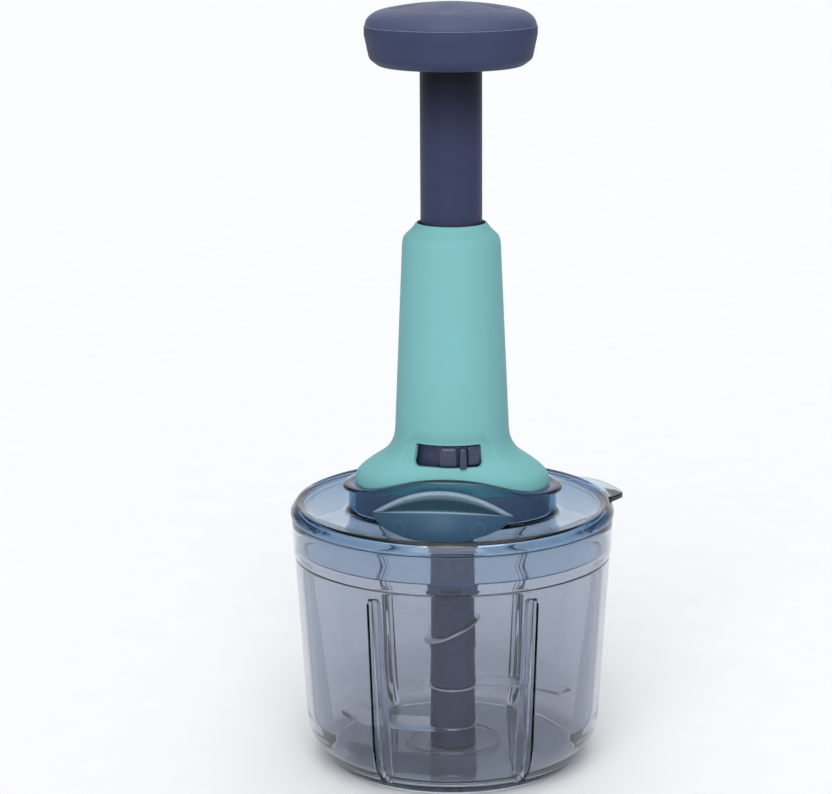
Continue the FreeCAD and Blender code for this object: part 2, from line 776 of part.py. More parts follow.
def drive_nut():
    z1 = nut_low_z + nut_flange_h
    z2 = z1 + nut_groove_h
    z3 = z2 + nut_top_h
    z4 = z3 + nut_spigot_h
    body = cyl(tube_r, nut_low_z, z1).fuse([
        cyl(nut_groove_r, z1 - 0.5, z2 + 0.5), cyl(tube_r, z2, z3),
        cyl(tube_r - tube_t - snug, z3 - 0.5, z4)])
    for i in range(tooth_count):
        way = lock_rest() + 360.0 * i / tooth_count
        notch = sector(tube_r + 1, nut_groove_r, nut_low_z - 1, z1 + 0.1, way, tooth_half + 2)
        body = body.cut(notch)
    return body.cut(twisted(thread_fit, nut_low_z - 2, z4 + 2)).removeSplitter()


# ---- plunger ----------------------------------------------------------
def plunger_tube():
    low = nut_low_z + nut_flange_h + nut_groove_h + nut_top_h
    body = cyl(tube_r, low, tube_top_z).cut(cyl(tube_r - tube_t, low - 1, tube_top_z - tube_cap_t))
    low_z = tube_top_z - knob_bite - 1
    body = body.fuse(cyl(knob_boss_r, low_z, tube_top_z - 1))
    return body.cut(cyl(screw_r, low_z + 1 - gap, tube_top_z + 1)).removeSplitter()


def return_spring():
    z0 = screw_top_z - pin_top_h + seat_t + spring_wire_r + 0.1
    z1 = tube_top_z - tube_cap_t - spring_wire_r - 0.1
    helix = Part.makeHelix((z1 - z0) / spring_turns, z1 - z0, spring_r)
    helix.translate(V(0, 0, z0))
    w = spring_wire_r
    corners = [V(spring_r + x * w, 0, z0 + z * w) for x, z in ((-1, -1), (1, -1), (1, 1), (-1, 1), (-1, -1))]
    return Part.Wire(helix.Edges).makePipeShell([Part.makePolygon(corners)], True, True)


def spring_seat():
    z0 = screw_top_z - pin_top_h
    return ring(spring_r + 1.3, lobe_in_r - 1 + run, z0, z0 + seat_t)


def knob_cup():
    wall = knob_t
    low_z = knob_low_z
    bend = knob_edge_r * 0.7
    lip_z = seam_z - knob_lip_h - gap
    out = [
        line((0, 0, low_z), (knob_low_r - knob_edge_r, 0, low_z)),
        arc((knob_low_r - knob_edge_r, 0, low_z),
            (knob_low_r - knob_edge_r + bend, 0, low_z + knob_edge_r - bend),
            (knob_low_r, 0, low_z + knob_edge_r)),
        line((knob_low_r, 0, low_z + knob_edge_r), (knob_r, 0, seam_z - 3)),
        line((knob_r, 0, seam_z - 3), (knob_r, 0, seam_z)),
        line((knob_r, 0, seam_z), (knob_r - wall, 0, seam_z)),
        line((knob_r - wall, 0, seam_z), (knob_r - wall, 0, lip_z)),
        line((knob_r - wall, 0, lip_z), (knob_low_r - wall - 0.6, 0, low_z + wall)),
        line((knob_low_r - wall - 0.6, 0, low_z + wall), (0, 0, low_z + wall)),
        line((0, 0, low_z + wall), (0, 0, low_z))]
    body = lathe(out)
    body = body.fuse(cyl(tube_r + snug + 2.6, low_z + 1, tube_top_z + knob_web_t))
    body = body.cut(cyl(tube_r + snug, low_z - 1, tube_top_z))
    return body.cut(cyl(screw_r + snug, tube_top_z - 1, tube_top_z + knob_web_t + 1)).removeSplitter()


def knob_screw():
    return screw(0, 0, tube_top_z + knob_web_t, tube_top_z - knob_bite)


def knob_cover():
    """Crowned cap with a rounded shoulder and a lip that drops into the cup."""
    edge_z = seam_z + 1.0
    bulge = (0.3 * dome_shoulder_r + 0.7 * knob_r, 0, 0.35 * edge_z + 0.65 * dome_shoulder_z)
    shoulder = (dome_shoulder_r, 0, dome_shoulder_z)
    band = lathe([
        line((0, 0, seam_z), (knob_r, 0, seam_z)),
        line((knob_r, 0, seam_z), (knob_r, 0, edge_z)),
        arc((knob_r, 0, edge_z), bulge, shoulder),
        line(shoulder, (0, 0, dome_shoulder_z)),
        line((0, 0, dome_shoulder_z), (0, 0, seam_z))])
    rise = dome_z - dome_shoulder_z
    crown_r = (dome_shoulder_r ** 2 + rise ** 2) / (2 * rise)
    slope = math.degrees(math.acos(dome_shoulder_r / crown_r))
    crown = Part.makeSphere(crown_r, V(0, 0, dome_z - crown_r), V(0, 0, 1), slope, 89.2)
    body = band.fuse([crown, cyl(knob_r - knob_t - snug, seam_z - knob_lip_h, seam_z + 0.5)])
    inner_r = knob_r - knob_t - cover_t
    brow_z = dome_shoulder_z - cover_t
    hollow = cyl(inner_r, seam_z - knob_lip_h - 1, brow_z)
    hollow = hollow.fuse(Part.makeCone(inner_r, 4, dome_z - cover_t - brow_z, V(0, 0, brow_z)))
    return body.cut(hollow).removeSplitter()


# ---- lock slider ------------------------------------------------------
def lock_rest():
    """Direction of the button's middle at rest, at the window's right end."""
    return -90 + window_half - lock_width / 2 - 0.8


def lock_guide():
    """Tube that carries the lock slider, notched over the heads of the plate screws."""
    body = ring(guide_r, guide_r - guide_t, plate_top_z, guide_top_z)
    head_top_z = plate_top_z + screw_head_h + gap
    for i in range(post_count):
        p = polar(post_ring_r, 30 + 360.0 * i / post_count)
        body = body.cut(cyl(screw_head_r + gap, plate_top_z - 1, head_top_z, p.x, p.y))
    return body


def lock_slider():
    way = lock_rest()
    plate_in = guide_r + gap
    plate_out = plate_in + lock_plate_t
    half = lock_width / 2
    top = guide_top_z + gap
    low = window_low_z + 0.4
    body = sector(plate_out, plate_in, low, top + lock_ring_t, way, half + 3)
    body = body.fuse(sector(flare_r - 0.2, plate_in, low, window_high_z - 0.4, way, half))
    grip = sector(flare_r + 1.3, plate_in, low + 0.8, window_high_z - 1.2, way - 9, 8.5)
    rib = sector(flare_r + 1.9, plate_in, low - 0.2, window_high_z - 0.8, way + 2.2, 1.8)
    body = body.fuse([grip, rib])
    body = body.fuse(sector(plate_out, lock_ring_r - 1, top, top + lock_ring_t, way, half))
    body = body.fuse(ring(lock_ring_r, tube_r + 2 * gap, top, top + lock_ring_t))
    for i in range(tooth_count):
        body = body.fuse(sector(lock_ring_r - 1, tooth_in_r, top, top + lock_ring_t,
                                way + 360.0 * i / tooth_count, tooth_half))
    return body.removeSplitter()


# ---- export -----------------------------------------------------------
nodes = {
    "bowl": bowl, "anti_slip_foot": foot_pad, "pivot_pin": pivot_pin,
    "hub_base": hub_base, "lower_spacer": lower_spacer, "middle_spacer": middle_spacer,
    "upper_spacer": upper_spacer, "hub_head": hub_head,
    "lower_blade": lambda: level_blade(lower_blade_z, lower_azimuth),
    "middle_blade": lambda: level_blade(middle_blade_z, middle_azimuth),
    "upper_blade": upper_blade,
    "lid": lid,
    "housing": housing, "guide_bush": guide_bush, "base_tray": base_tray,
    "output_sleeve": output_sleeve, "thrust_washer": thrust_washer, "bearing_plate": bearing_plate,
    "plate_screws": plate_screws, "housing_screws": housing_screws, "lock_guide": lock_guide,
    "output_shaft": output_shaft, "drive_dog": drive_dog, "dog_screw": dog_screw, "pawl_ring": pawl_ring,
    "drive_screw": drive_screw, "spring_seat": spring_seat,
    "return_spring": return_spring,
    "drive_nut": drive_nut, "plunger_tube": plunger_tube,
    "knob_cup": knob_cup, "knob_cover": knob_cover, "knob_screw": knob_screw,
    "lock_slider": lock_slider,
}

os.makedirs("parts", exist_ok=True)
for name, make in nodes.items():
    shape = make()
    export(shape, name)
    print(name, "solids", len(shape.Solids), "valid", shape.isValid(), "volume", round(shape.Volume, 1))
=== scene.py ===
import json
import math

import bpy
from mathutils import Matrix, Vector


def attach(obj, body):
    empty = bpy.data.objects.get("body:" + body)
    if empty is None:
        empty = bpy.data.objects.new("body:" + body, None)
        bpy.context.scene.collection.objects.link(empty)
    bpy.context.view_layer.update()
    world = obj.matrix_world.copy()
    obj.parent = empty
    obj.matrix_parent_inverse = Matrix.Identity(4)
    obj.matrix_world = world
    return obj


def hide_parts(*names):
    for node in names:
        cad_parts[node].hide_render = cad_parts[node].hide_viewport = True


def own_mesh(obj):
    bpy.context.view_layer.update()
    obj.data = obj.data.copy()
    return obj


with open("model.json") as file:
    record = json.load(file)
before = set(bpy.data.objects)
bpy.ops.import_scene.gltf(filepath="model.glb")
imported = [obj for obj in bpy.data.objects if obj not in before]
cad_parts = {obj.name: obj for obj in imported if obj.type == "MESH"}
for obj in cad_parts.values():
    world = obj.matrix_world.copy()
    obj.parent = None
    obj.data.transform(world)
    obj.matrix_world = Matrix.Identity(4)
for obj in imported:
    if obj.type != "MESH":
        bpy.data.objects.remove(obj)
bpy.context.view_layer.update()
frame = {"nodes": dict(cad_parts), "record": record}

nodes = frame["nodes"]
mm = 0.001


def clearSelection():
    if bpy.context.object and bpy.context.object.mode != "OBJECT":
        bpy.ops.object.mode_set(mode="OBJECT")
    bpy.ops.object.select_all(action="DESELECT")


def pick(piece):
    clearSelection()
    piece.select_set(True)
    bpy.context.view_layer.objects.active = piece


def applyAll(piece):
    pick(piece)
    for modifier in list(piece.modifiers):
        bpy.ops.object.modifier_apply(modifier=modifier.name)


def named(name):
    # the primitive just added gets its name
    piece = bpy.context.object
    piece.name = name
    piece.data.name = name
    return piece


def smooth(piece, degrees):
    pick(piece)
    bpy.ops.object.shade_smooth_by_angle(angle=math.radians(degrees))


def editAll(piece):
    pick(piece)
    bpy.ops.object.mode_set(mode="EDIT")
    bpy.ops.mesh.select_all(action="SELECT")


def tidyMesh(piece, merge=1e-6):
    editAll(piece)
    bpy.ops.mesh.remove_doubles(threshold=merge)
    bpy.ops.mesh.dissolve_degenerate(threshold=1e-7)
    bpy.ops.mesh.normals_make_consistent(inside=False)
    bpy.ops.object.mode_set(mode="OBJECT")


def polar(radius, degrees):
    return (radius * math.cos(math.radians(degrees)), radius * math.sin(math.radians(degrees)))


def arcPoints(cx, cz, radius, start, end, count):
    # points on an arc, angles in degrees, both ends included
    turns = [math.radians(start + (end - start) * k / count) for k in range(count + 1)]
    return [(cx + radius * math.cos(a), cz + radius * math.sin(a)) for a in turns]


def runPoints(p, q, step):
    # points from p up to q, q left out, no further apart than step
    count = max(1, math.ceil(math.dist(p, q) / step))
    return [(p[0] + (q[0] - p[0]) * k / count, p[1] + (q[1] - p[1]) * k / count) for k in range(count)]


def rounded(corners, segments=4):
    # corners are (radius, height, rounding) in mm; each rounding is a true arc
    points = []
    count = len(corners)
    for i, (r, z, fillet) in enumerate(corners):
        if fillet <= 0:
            points.append((r, z))
            continue
        here = Vector((r, z))
        toLast = Vector(corners[i - 1][:2]) - here
        toNext = Vector(corners[(i + 1) % count][:2]) - here
        lengths = (toLast.length, toNext.length)
        toLast.normalize()
        toNext.normalize()
        half = math.acos(max(-1, min(1, toLast.dot(toNext)))) / 2
        reach = min(fillet / math.tan(half), 0.49 * min(lengths))
        fillet = reach * math.tan(half)
        centre = here + (toLast + toNext).normalized() * fillet / math.sin(half)
        start = here + toLast * reach - centre
        end = here + toNext * reach - centre
        turn = start.angle_signed(end)
        for k in range(segments + 1):
            a = -turn * k / segments
            points.append((centre.x + start.x * math.cos(a) - start.y * math.sin(a),
                           centre.y + start.x * math.sin(a) + start.y * math.cos(a)))
    return points


def blendStep(low, high, value):
    t = max(0.0, min(1.0, (value - low) / (high - low)))
    return t * t * (3 - 2 * t)


def spinRows(name, count, steps, place, closed=True):
    # a row of vertices is extruded and spun about Z, then each vertex goes to place(row, turn) in mm
    clearSelection()
    bpy.ops.mesh.primitive_plane_add(size=mm, location=(0, 0, 0))
    piece = named(name)
    bpy.ops.object.mode_set(mode="EDIT")
    bpy.ops.mesh.merge(type="CENTER")
    bpy.ops.transform.translate(value=(100 * mm, 0, 0))
    for _ in range(count - 1):
        bpy.ops.mesh.extrude_vertices_move(TRANSFORM_OT_translate={"value": (mm, 0, 0)})
    if closed:
        bpy.ops.mesh.extrude_vertices_move(TRANSFORM_OT_translate={"value": ((1 - count) * mm, 0, 0)})
    bpy.ops.mesh.select_all(action="SELECT")
    bpy.ops.mesh.remove_doubles(threshold=1e-6)
    bpy.ops.mesh.spin(steps=steps, angle=2 * math.pi, center=(0, 0, 0), axis=(0, 0, 1), use_auto_merge=True)
    bpy.ops.mesh.select_all(action="SELECT")
    bpy.ops.mesh.remove_doubles(threshold=1e-6)
    bpy.ops.object.mode_set(mode="OBJECT")
    for v in piece.data.vertices:
        row = round(math.hypot(v.co.x, v.co.y) / mm - 100)
        v.co = Vector(place(row, math.atan2(v.co.y, v.co.x))) * mm
    tidyMesh(piece)
    return piece


def spun(name, outline, steps=128, closed=True):
    # turned piece from an outline of (radius, height) in mm
    def place(row, turn):
        r, z = outline[row]
        return (r * math.cos(turn), r * math.sin(turn), z)
    return spinRows(name, len(outline), steps, place, closed)


def sheetLoft(name, columns, rows, place):
    # a grid whose vertices go to place(u, v) in mm, with u and v from 0 to 1
    clearSelection()
    bpy.ops.mesh.primitive_grid_add(x_subdivisions=columns, y_subdivisions=rows, size=2, location=(0, 0, 0))
    piece = named(name)
    for v in piece.data.vertices:
        v.co = Vector(place((v.co.x + 1) / 2, (v.co.y + 1) / 2)) * mm
    tidyMesh(piece)
    return piece


def prism(name, outline, low, high, place=None):
    # a filled outline, extruded from low to high, then bent by place(x, y, z)
    clearSelection()
    bpy.ops.mesh.primitive_circle_add(vertices=len(outline), radius=1, fill_type="NGON", location=(0, 0, 0))
    piece = named(name)
    for v in piece.data.vertices:
        v.co = Vector((outline[v.index][0], outline[v.index][1], low)) * mm
    editAll(piece)
    bpy.ops.mesh.extrude_region_move(TRANSFORM_OT_translate={"value": (0, 0, (high - low) * mm)})
    bpy.ops.object.mode_set(mode="OBJECT")
    if place:
        for v in piece.data.vertices:
            v.co = Vector(place(v.co.x / mm, v.co.y / mm, v.co.z / mm)) * mm
    tidyMesh(piece)
    return piece


def carve(piece, cutter, way="DIFFERENCE"):
    # exact boolean; the cutter is used up
    tool = piece.modifiers.new("carve", "BOOLEAN")
    tool.object = cutter
    tool.operation = way
    tool.solver = "EXACT"
    applyAll(piece)
    bpy.data.objects.remove(cutter, do_unlink=True)
    return piece


def turnedBy(piece, degrees, axis="Z", centre=(0, 0, 0)):
    editAll(piece)
    bpy.ops.transform.rotate(value=-math.radians(degrees), orient_axis=axis, orient_type="GLOBAL",
                             center_override=Vector(centre) * mm)
    bpy.ops.object.mode_set(mode="OBJECT")
    return piece


def softEdges(piece, width, segments=2, degrees=40):
    # small rounding of every sharp edge
    tool = piece.modifiers.new("edges", "BEVEL")
    tool.width = width * mm
    tool.segments = segments
    tool.limit_method = "ANGLE"
    tool.angle_limit = math.radians(degrees)
    tool.harden_normals = False
    applyAll(piece)


def connect(tree, node, inputs):
    # each input, by name or place, takes another node's socket or a plain value
    for key, value in inputs.items():
        if isinstance(value, bpy.types.NodeSocket):
            tree.links.new(value, node.inputs[key])
        else:
            node.inputs[key].default_value = value
    return node


def addNode(tree, kind, inputs, **settings):
    node = tree.nodes.new("ShaderNode" + kind)
    for key, value in settings.items():
        setattr(node, key, value)
    return connect(tree, node, inputs)


def noise(tree, where, size, detail):
    return addNode(tree, "TexNoise", {"Vector": where, "Scale": size, "Detail": detail}).outputs["Fac"]


def ramp(tree, source, stops, way="LINEAR"):
    # colour by a value; each stop is (position, colour)
    node = addNode(tree, "ValToRGB", {"Fac": source})
    band = node.color_ramp
    band.interpolation = way
    for k, (position, colour) in enumerate(stops):
        stop = band.elements[k] if k < 2 else band.elements.new(position)
        stop.position = position
        stop.color = list(colour) + [1]
    return node.outputs["Color"]


def rescaled(tree, source, low, high, fromLow=0, fromHigh=1, way="LINEAR"):
    node = addNode(tree, "MapRange", {"Value": source, "From Min": fromLow, "From Max": fromHigh,
                                      "To Min": low, "To Max": high}, interpolation_type=way)
    return node.outputs["Result"]


def reckon(tree, operation, *values, clamp=False):
    node = addNode(tree, "Math", dict(enumerate(values)), operation=operation, use_clamp=clamp)
    return node.outputs["Value"]


def mixed(tree, share, first, second):
    inputs = {"Factor": share, "A": first, "B": list(second) + [1]}
    return addNode(tree, "Mix", inputs, data_type="RGBA").outputs["Result"]


def bumped(tree, source, strength, distance):
    inputs = {"Height": source, "Strength": strength, "Distance": distance}
    return addNode(tree, "Bump", inputs).outputs["Normal"]


def axisOf(tree, source, axis):
    return addNode(tree, "SeparateXYZ", {"Vector": source}).outputs[axis]


def newMaterial(name, colour, alpha=1):
    mat = bpy.data.materials.new(name)
    mat.use_nodes = True
    mat.diffuse_color = list(colour) + [alpha]
    tree = mat.node_tree
    where = addNode(tree, "TexCoord", {}).outputs["Object"]
    return mat, tree, tree.nodes["Principled BSDF"], where


def plastic(name, colour, rough=0.35, coat=0.0, grain=0.0, grainSize=900, drift=0.06, spec=0.5):
    # moulded plastic: colour that drifts a little, uneven gloss and a fine skin
    mat, tree, shader, where = newMaterial(name, colour)
    cloud = noise(tree, where, 35, 4)
    deep = [c * (1 - drift) for c in colour]
    pale = [min(1, c * (1 + drift)) for c in colour]
    connect(tree, shader, {"Base Color": ramp(tree, cloud, ((0.3, deep), (0.7, pale))),
                           "Roughness": rescaled(tree, cloud, rough * 0.9, min(1, rough * 1.12)),
                           "Coat Weight": coat, "Coat Roughness": 0.15, "Specular IOR Level": spec})
    if grain > 0:
        skin = noise(tree, where, grainSize, 3)
        connect(tree, shader, {"Normal": bumped(tree, skin, grain, 0.0002)})
    return mat


def clearPlastic(name, colour, depthColour, depth, rough, ripple, rippleSize, paintedFloorLight=None):
    # see-through moulding: thin at the face, deeper in colour along its edges, with faint flow ripples
    mat, tree, shader, where = newMaterial(name, colour, 0.4)
    tint = list(colour) + [1]
    if paintedFloorLight:
        # painted light: up to 6 mm the bowl takes a paler tint, blending to the wall's tint above 12 mm, to
        # brighten the floor that the walls shade
        height = rescaled(tree, axisOf(tree, where, "Z"), 0, 1, 6 * mm, 12 * mm)
        tint = ramp(tree, height, ((0, paintedFloorLight), (1, colour)))
    flow = noise(tree, where, rippleSize, 1)
    connect(tree, shader, {"Base Color": tint, "Transmission Weight": 1, "IOR": 1.49,
                           "Roughness": rescaled(tree, flow, rough * 0.5, rough * 1.5),
                           "Normal": bumped(tree, flow, ripple, 0.0006)})
    soak = addNode(tree, "VolumeAbsorption", {"Color": list(depthColour) + [1], "Density": depth})
    connect(tree, tree.nodes["Material Output"], {"Volume": soak.outputs["Volume"]})
    return mat


def steel(name, colour, rough):
    # polished sheet with faint upright grinding marks
    mat, tree, shader, where = newMaterial(name, colour)
    stretch = addNode(tree, "Mapping", {"Vector": where, "Scale": (1, 1, 40)})
    marks = noise(tree, stretch.outputs["Vector"], 220, 5)
    dull = [c * 0.9 for c in colour]
    connect(tree, shader, {"Metallic": 1, "Base Color": ramp(tree, marks, ((0, dull), (1, colour))),
                           "Roughness": rescaled(tree, marks, rough * 0.7, rough * 1.4),
                           "Normal": bumped(tree, marks, 0.08, 0.0001)})
    return mat


# thumb ledge: a painted highlight along bead and crease, painted shade on the dished face
ledgeTints = {"deep": (0.048, 0.105, 0.17), "shade": (0.018, 0.05, 0.078), "frostAndHighlight": (0.36, 0.48, 0.58),
              "through": 0.1, "spec": 0.08, "rough": (0.42, 0.55), "relief": 0.12, "dotSize": 2600,
              "sparkle": 0.5,
              # share of frost and painted highlight along the section: bead, dished face, crease, lower face
              "bands": ((0.0, 0.3), (1.0, 0.3), (0.05, 0.8), (0.11, 0.9), (0.15, 0.35), (0.20, 0.0),
                        (0.35, 0.0), (0.42, 0.3), (0.46, 1.0), (0.50, 0.8), (0.54, 0.06), (0.58, 0.0),
                        (0.84, 0.0), (0.88, 0.2)),
              "creaseFrom": 0.43, "creaseTo": 0.5, "lowerFrom": 0.56,
              "markX": (-20.2, 15.2), "markZ": 122.6, "markR": 2.9, "markLine": 0.25, "markFrost": 0.08}


def ledgeSkin():
    # deep blue skin of the thumb ledge, with fine frosted sparkle and a painted highlight along its bead and
    # its crease, and painted shade over the bead and the dished face above the crease
    t = ledgeTints
    mat, tree, shader, where = newMaterial("ledgeBlue", t["deep"])
    along = axisOf(tree, addNode(tree, "UVMap", {}).outputs["UV"], "Y")
    # painted highlight: these bands lighten the bead and the crease
    bands = ramp(tree, along, [(position, [share] * 3) for position, share in t["bands"]])
    dots = noise(tree, where, t["dotSize"], 3)
    grains = rescaled(tree, dots, 1 - t["sparkle"], 1 + t["sparkle"], 0.35, 0.65)
    frostAndHighlight = reckon(tree, "MULTIPLY", bands, grains, clamp=True)
    # two faint round marks on the lower face
    lower = reckon(tree, "GREATER_THAN", along, t["lowerFrom"])
    flat = addNode(tree, "CombineXYZ", {"X": axisOf(tree, where, "X"), "Z": axisOf(tree, where, "Z")})
    for x in t["markX"]:
        away = addNode(tree, "VectorMath", {0: flat.outputs["Vector"], 1: (x * mm, 0, t["markZ"] * mm)},
                       operation="DISTANCE")
        mark = reckon(tree, "COMPARE", away.outputs["Value"], t["markR"] * mm, t["markLine"] * mm)
        frostAndHighlight = reckon(tree, "MULTIPLY_ADD", reckon(tree, "MULTIPLY", mark, lower), t["markFrost"], frostAndHighlight)
    # painted shade: the darker skin over the bead and the dished face, above the crease
    skin = ramp(tree, along, ((t["creaseFrom"], t["shade"]), (t["creaseTo"], t["deep"])))
    connect(tree, shader, {"Base Color": mixed(tree, frostAndHighlight, skin, t["frostAndHighlight"]),
                           "Transmission Weight": t["through"], "Specular IOR Level": t["spec"],
                           "Roughness": rescaled(tree, frostAndHighlight, *t["rough"]),
                           "Normal": bumped(tree, frostAndHighlight, t["relief"], 0.0002)})
    return mat


finish = {
    # painted light: the bowl's floor takes a paler tint
    "bowl_clear": clearPlastic("smokyBowl", (0.65, 0.68, 0.74), (0.30, 0.40, 0.56), 44, rough=0.012,
                               ripple=0.015, rippleSize=45, paintedFloorLight=(0.93, 0.95, 0.98)),
    "lid_clear": clearPlastic("blueLid", (0.93, 0.96, 0.98), (0.13, 0.45, 0.69), 205, rough=0.015,
                              ripple=0.02, rippleSize=60),
    "hub_slate": plastic("slateHub", (0.064, 0.08, 0.17), rough=0.42, grain=0.02, spec=0.2),
    "driver_plastic": plastic("slateDriver", (0.11, 0.16, 0.32), rough=0.42, grain=0.02, spec=0.2),
    "mint_plastic": plastic("mintShell", (0.175, 0.42, 0.43), rough=0.5, grain=0.03, drift=0.02, spec=0.12),
    "navy_plastic": plastic("navyTube", (0.045, 0.055, 0.11), rough=0.5, grain=0.03, spec=0.06),
    "navy_gloss": plastic("navyCap", (0.07, 0.085, 0.155), rough=0.45, grain=0.05, spec=0.15),
    "slider_navy": plastic("navySlider", (0.030, 0.040, 0.088), rough=0.2, coat=0.35, spec=0.3),
    "guide_dark": plastic("darkGuide", (0.035, 0.043, 0.09), rough=0.4, spec=0.25),
    "inner_plastic": plastic("innerNavy", (0.24, 0.25, 0.34), rough=0.4),
    "drive_white": plastic("slipWhite", (0.75, 0.76, 0.74), rough=0.45, grain=0.02),
    "foot_rubber": plastic("greyFoot", (0.86, 0.91, 0.94), rough=0.7, grain=0.15, grainSize=1500),
    "blade_steel": steel("bladeSteel", (0.62, 0.63, 0.66), rough=0.16),
    "steel": steel("screwSteel", (0.62, 0.62, 0.64), rough=0.3),
    "spring_steel": steel("wireSteel", (0.6, 0.6, 0.62), rough=0.25),
    "ledgeBlue": ledgeSkin(),
    "satinTube": plastic("satinTube", (0.036, 0.044, 0.092), rough=0.45, grain=0.03, spec=0.1),
}


def layOver(mat, colour, shareAt):
    # a second colour over a finished plastic, used here to paint light and shade; shareAt makes its share from
    # the height
    tree = mat.node_tree
    where = addNode(tree, "TexCoord", {}).outputs["Object"]
    base = tree.nodes["Principled BSDF"].inputs["Base Color"]
    share = shareAt(tree, axisOf(tree, where, "Z"))
    tree.links.new(mixed(tree, share, base.links[0].from_socket, colour), base)


# painted highlight: a pale line at the knob's seam
knobSeamHighlight = {"z": 341.45, "half": 0.22, "colour": (0.20, 0.23, 0.32)}
# painted shadow: the tube darkens under the knob
knobShade = {"lowZ": 282, "topZ": 323, "dark": 0.85, "colour": (0.004, 0.004, 0.006)}


def seamHighlightAt(tree, z):
    # painted highlight: a pale line where the knob's two mouldings meet, standing in for light caught on the
    # seam's edge
    return reckon(tree, "COMPARE", z, knobSeamHighlight["z"] * mm, knobSeamHighlight["half"] * mm)


def shadeAt(tree, z):
    # painted shadow: the tube darkens towards the knob, where the knob shades it
    return rescaled(tree, z, 0, knobShade["dark"], knobShade["lowZ"] * mm, knobShade["topZ"] * mm, "SMOOTHSTEP")


layOver(finish["navy_plastic"], knobSeamHighlight["colour"], seamHighlightAt)
layOver(finish["navy_gloss"], knobSeamHighlight["colour"], seamHighlightAt)
# painted shadow of the knob on the tube
layOver(finish["satinTube"], knobShade["colour"], shadeAt)

slotOf = {part["node"]: part["material_slot"] for part in frame["record"]["subparts"]}
for name, obj in nodes.items():
    obj.data.materials.clear()
    obj.data.materials.append(finish[slotOf[name]])
print("materials ready")


def dress(piece, slot, body, *replaced, look=None):
    # finish, body and the CAD nodes that the piece stands for; look is a finish of its own within the slot
    piece.data.materials.clear()
    piece.data.materials.append(finish[look or slot])
    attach(piece, body)
    if replaced:
        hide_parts(*replaced)


wave = {"crown": 141.0, "low": 131.6, "reach": 51.0}


def waveZ(x):
    # height of the wavy edge at x; it falls from its crown at x = 0 to its low ends
    reach = wave["reach"]
    x = min(abs(x), reach)
    lo, hi = 0.0, 1.0
    for _ in range(22):
        t = (lo + hi) / 2
        at = reach * (1.35 * (1 - t) ** 2 * t + 1.65 * (1 - t) * t * t + t ** 3)
        lo, hi = (t, hi) if at < x else (lo, t)
    drop = 3 * (1 - t) * t * t + t ** 3
    return wave["crown"] + (wave["low"] - wave["crown"]) * drop


bowl = {"sideLow": 68.2, "sideZ": 13.0, "baseZ": 1.5, "innerR": 52.4, "innerRound": 13.5, "wall": 2.4,
        "stepR": 73.4, "stepZ": 100.0, "topR": 74.4, "topZ": 117.2, "rimWall": 2.2, "floorZ": 4.9,
        "padR": 56.05, "padZ": 2.85, "pinR": 2.55, "ribs": 6, "firstRib": 4.5, "ribSkin": 0.8,
        "ribSoft": 0.5, "ribAtStep": 67.2, "ribAtBase": 56.8, "ribLowZ": 13.0, "slotHalf": 1.4,
        "slotTop": 93.5, "slotSoft": 0.7, "slotDeep": 2.6, "slotFade": 15}


def ribFace(z):
    # radius of a rib's inner face
    lean = (bowl["ribAtStep"] - bowl["ribAtBase"]) / (bowl["stepZ"] - bowl["ribLowZ"])
    return bowl["ribAtBase"] + lean * (z - bowl["ribLowZ"])


def insideArch(offset, z, half, top, soft):
    # 1 inside a round-topped upright shape, 0 outside, soft at its edge
    springZ = top - half
    away = abs(offset) if z < springZ else math.hypot(offset, z - springZ)
    return 1 - blendStep(half - soft, half + soft, away)


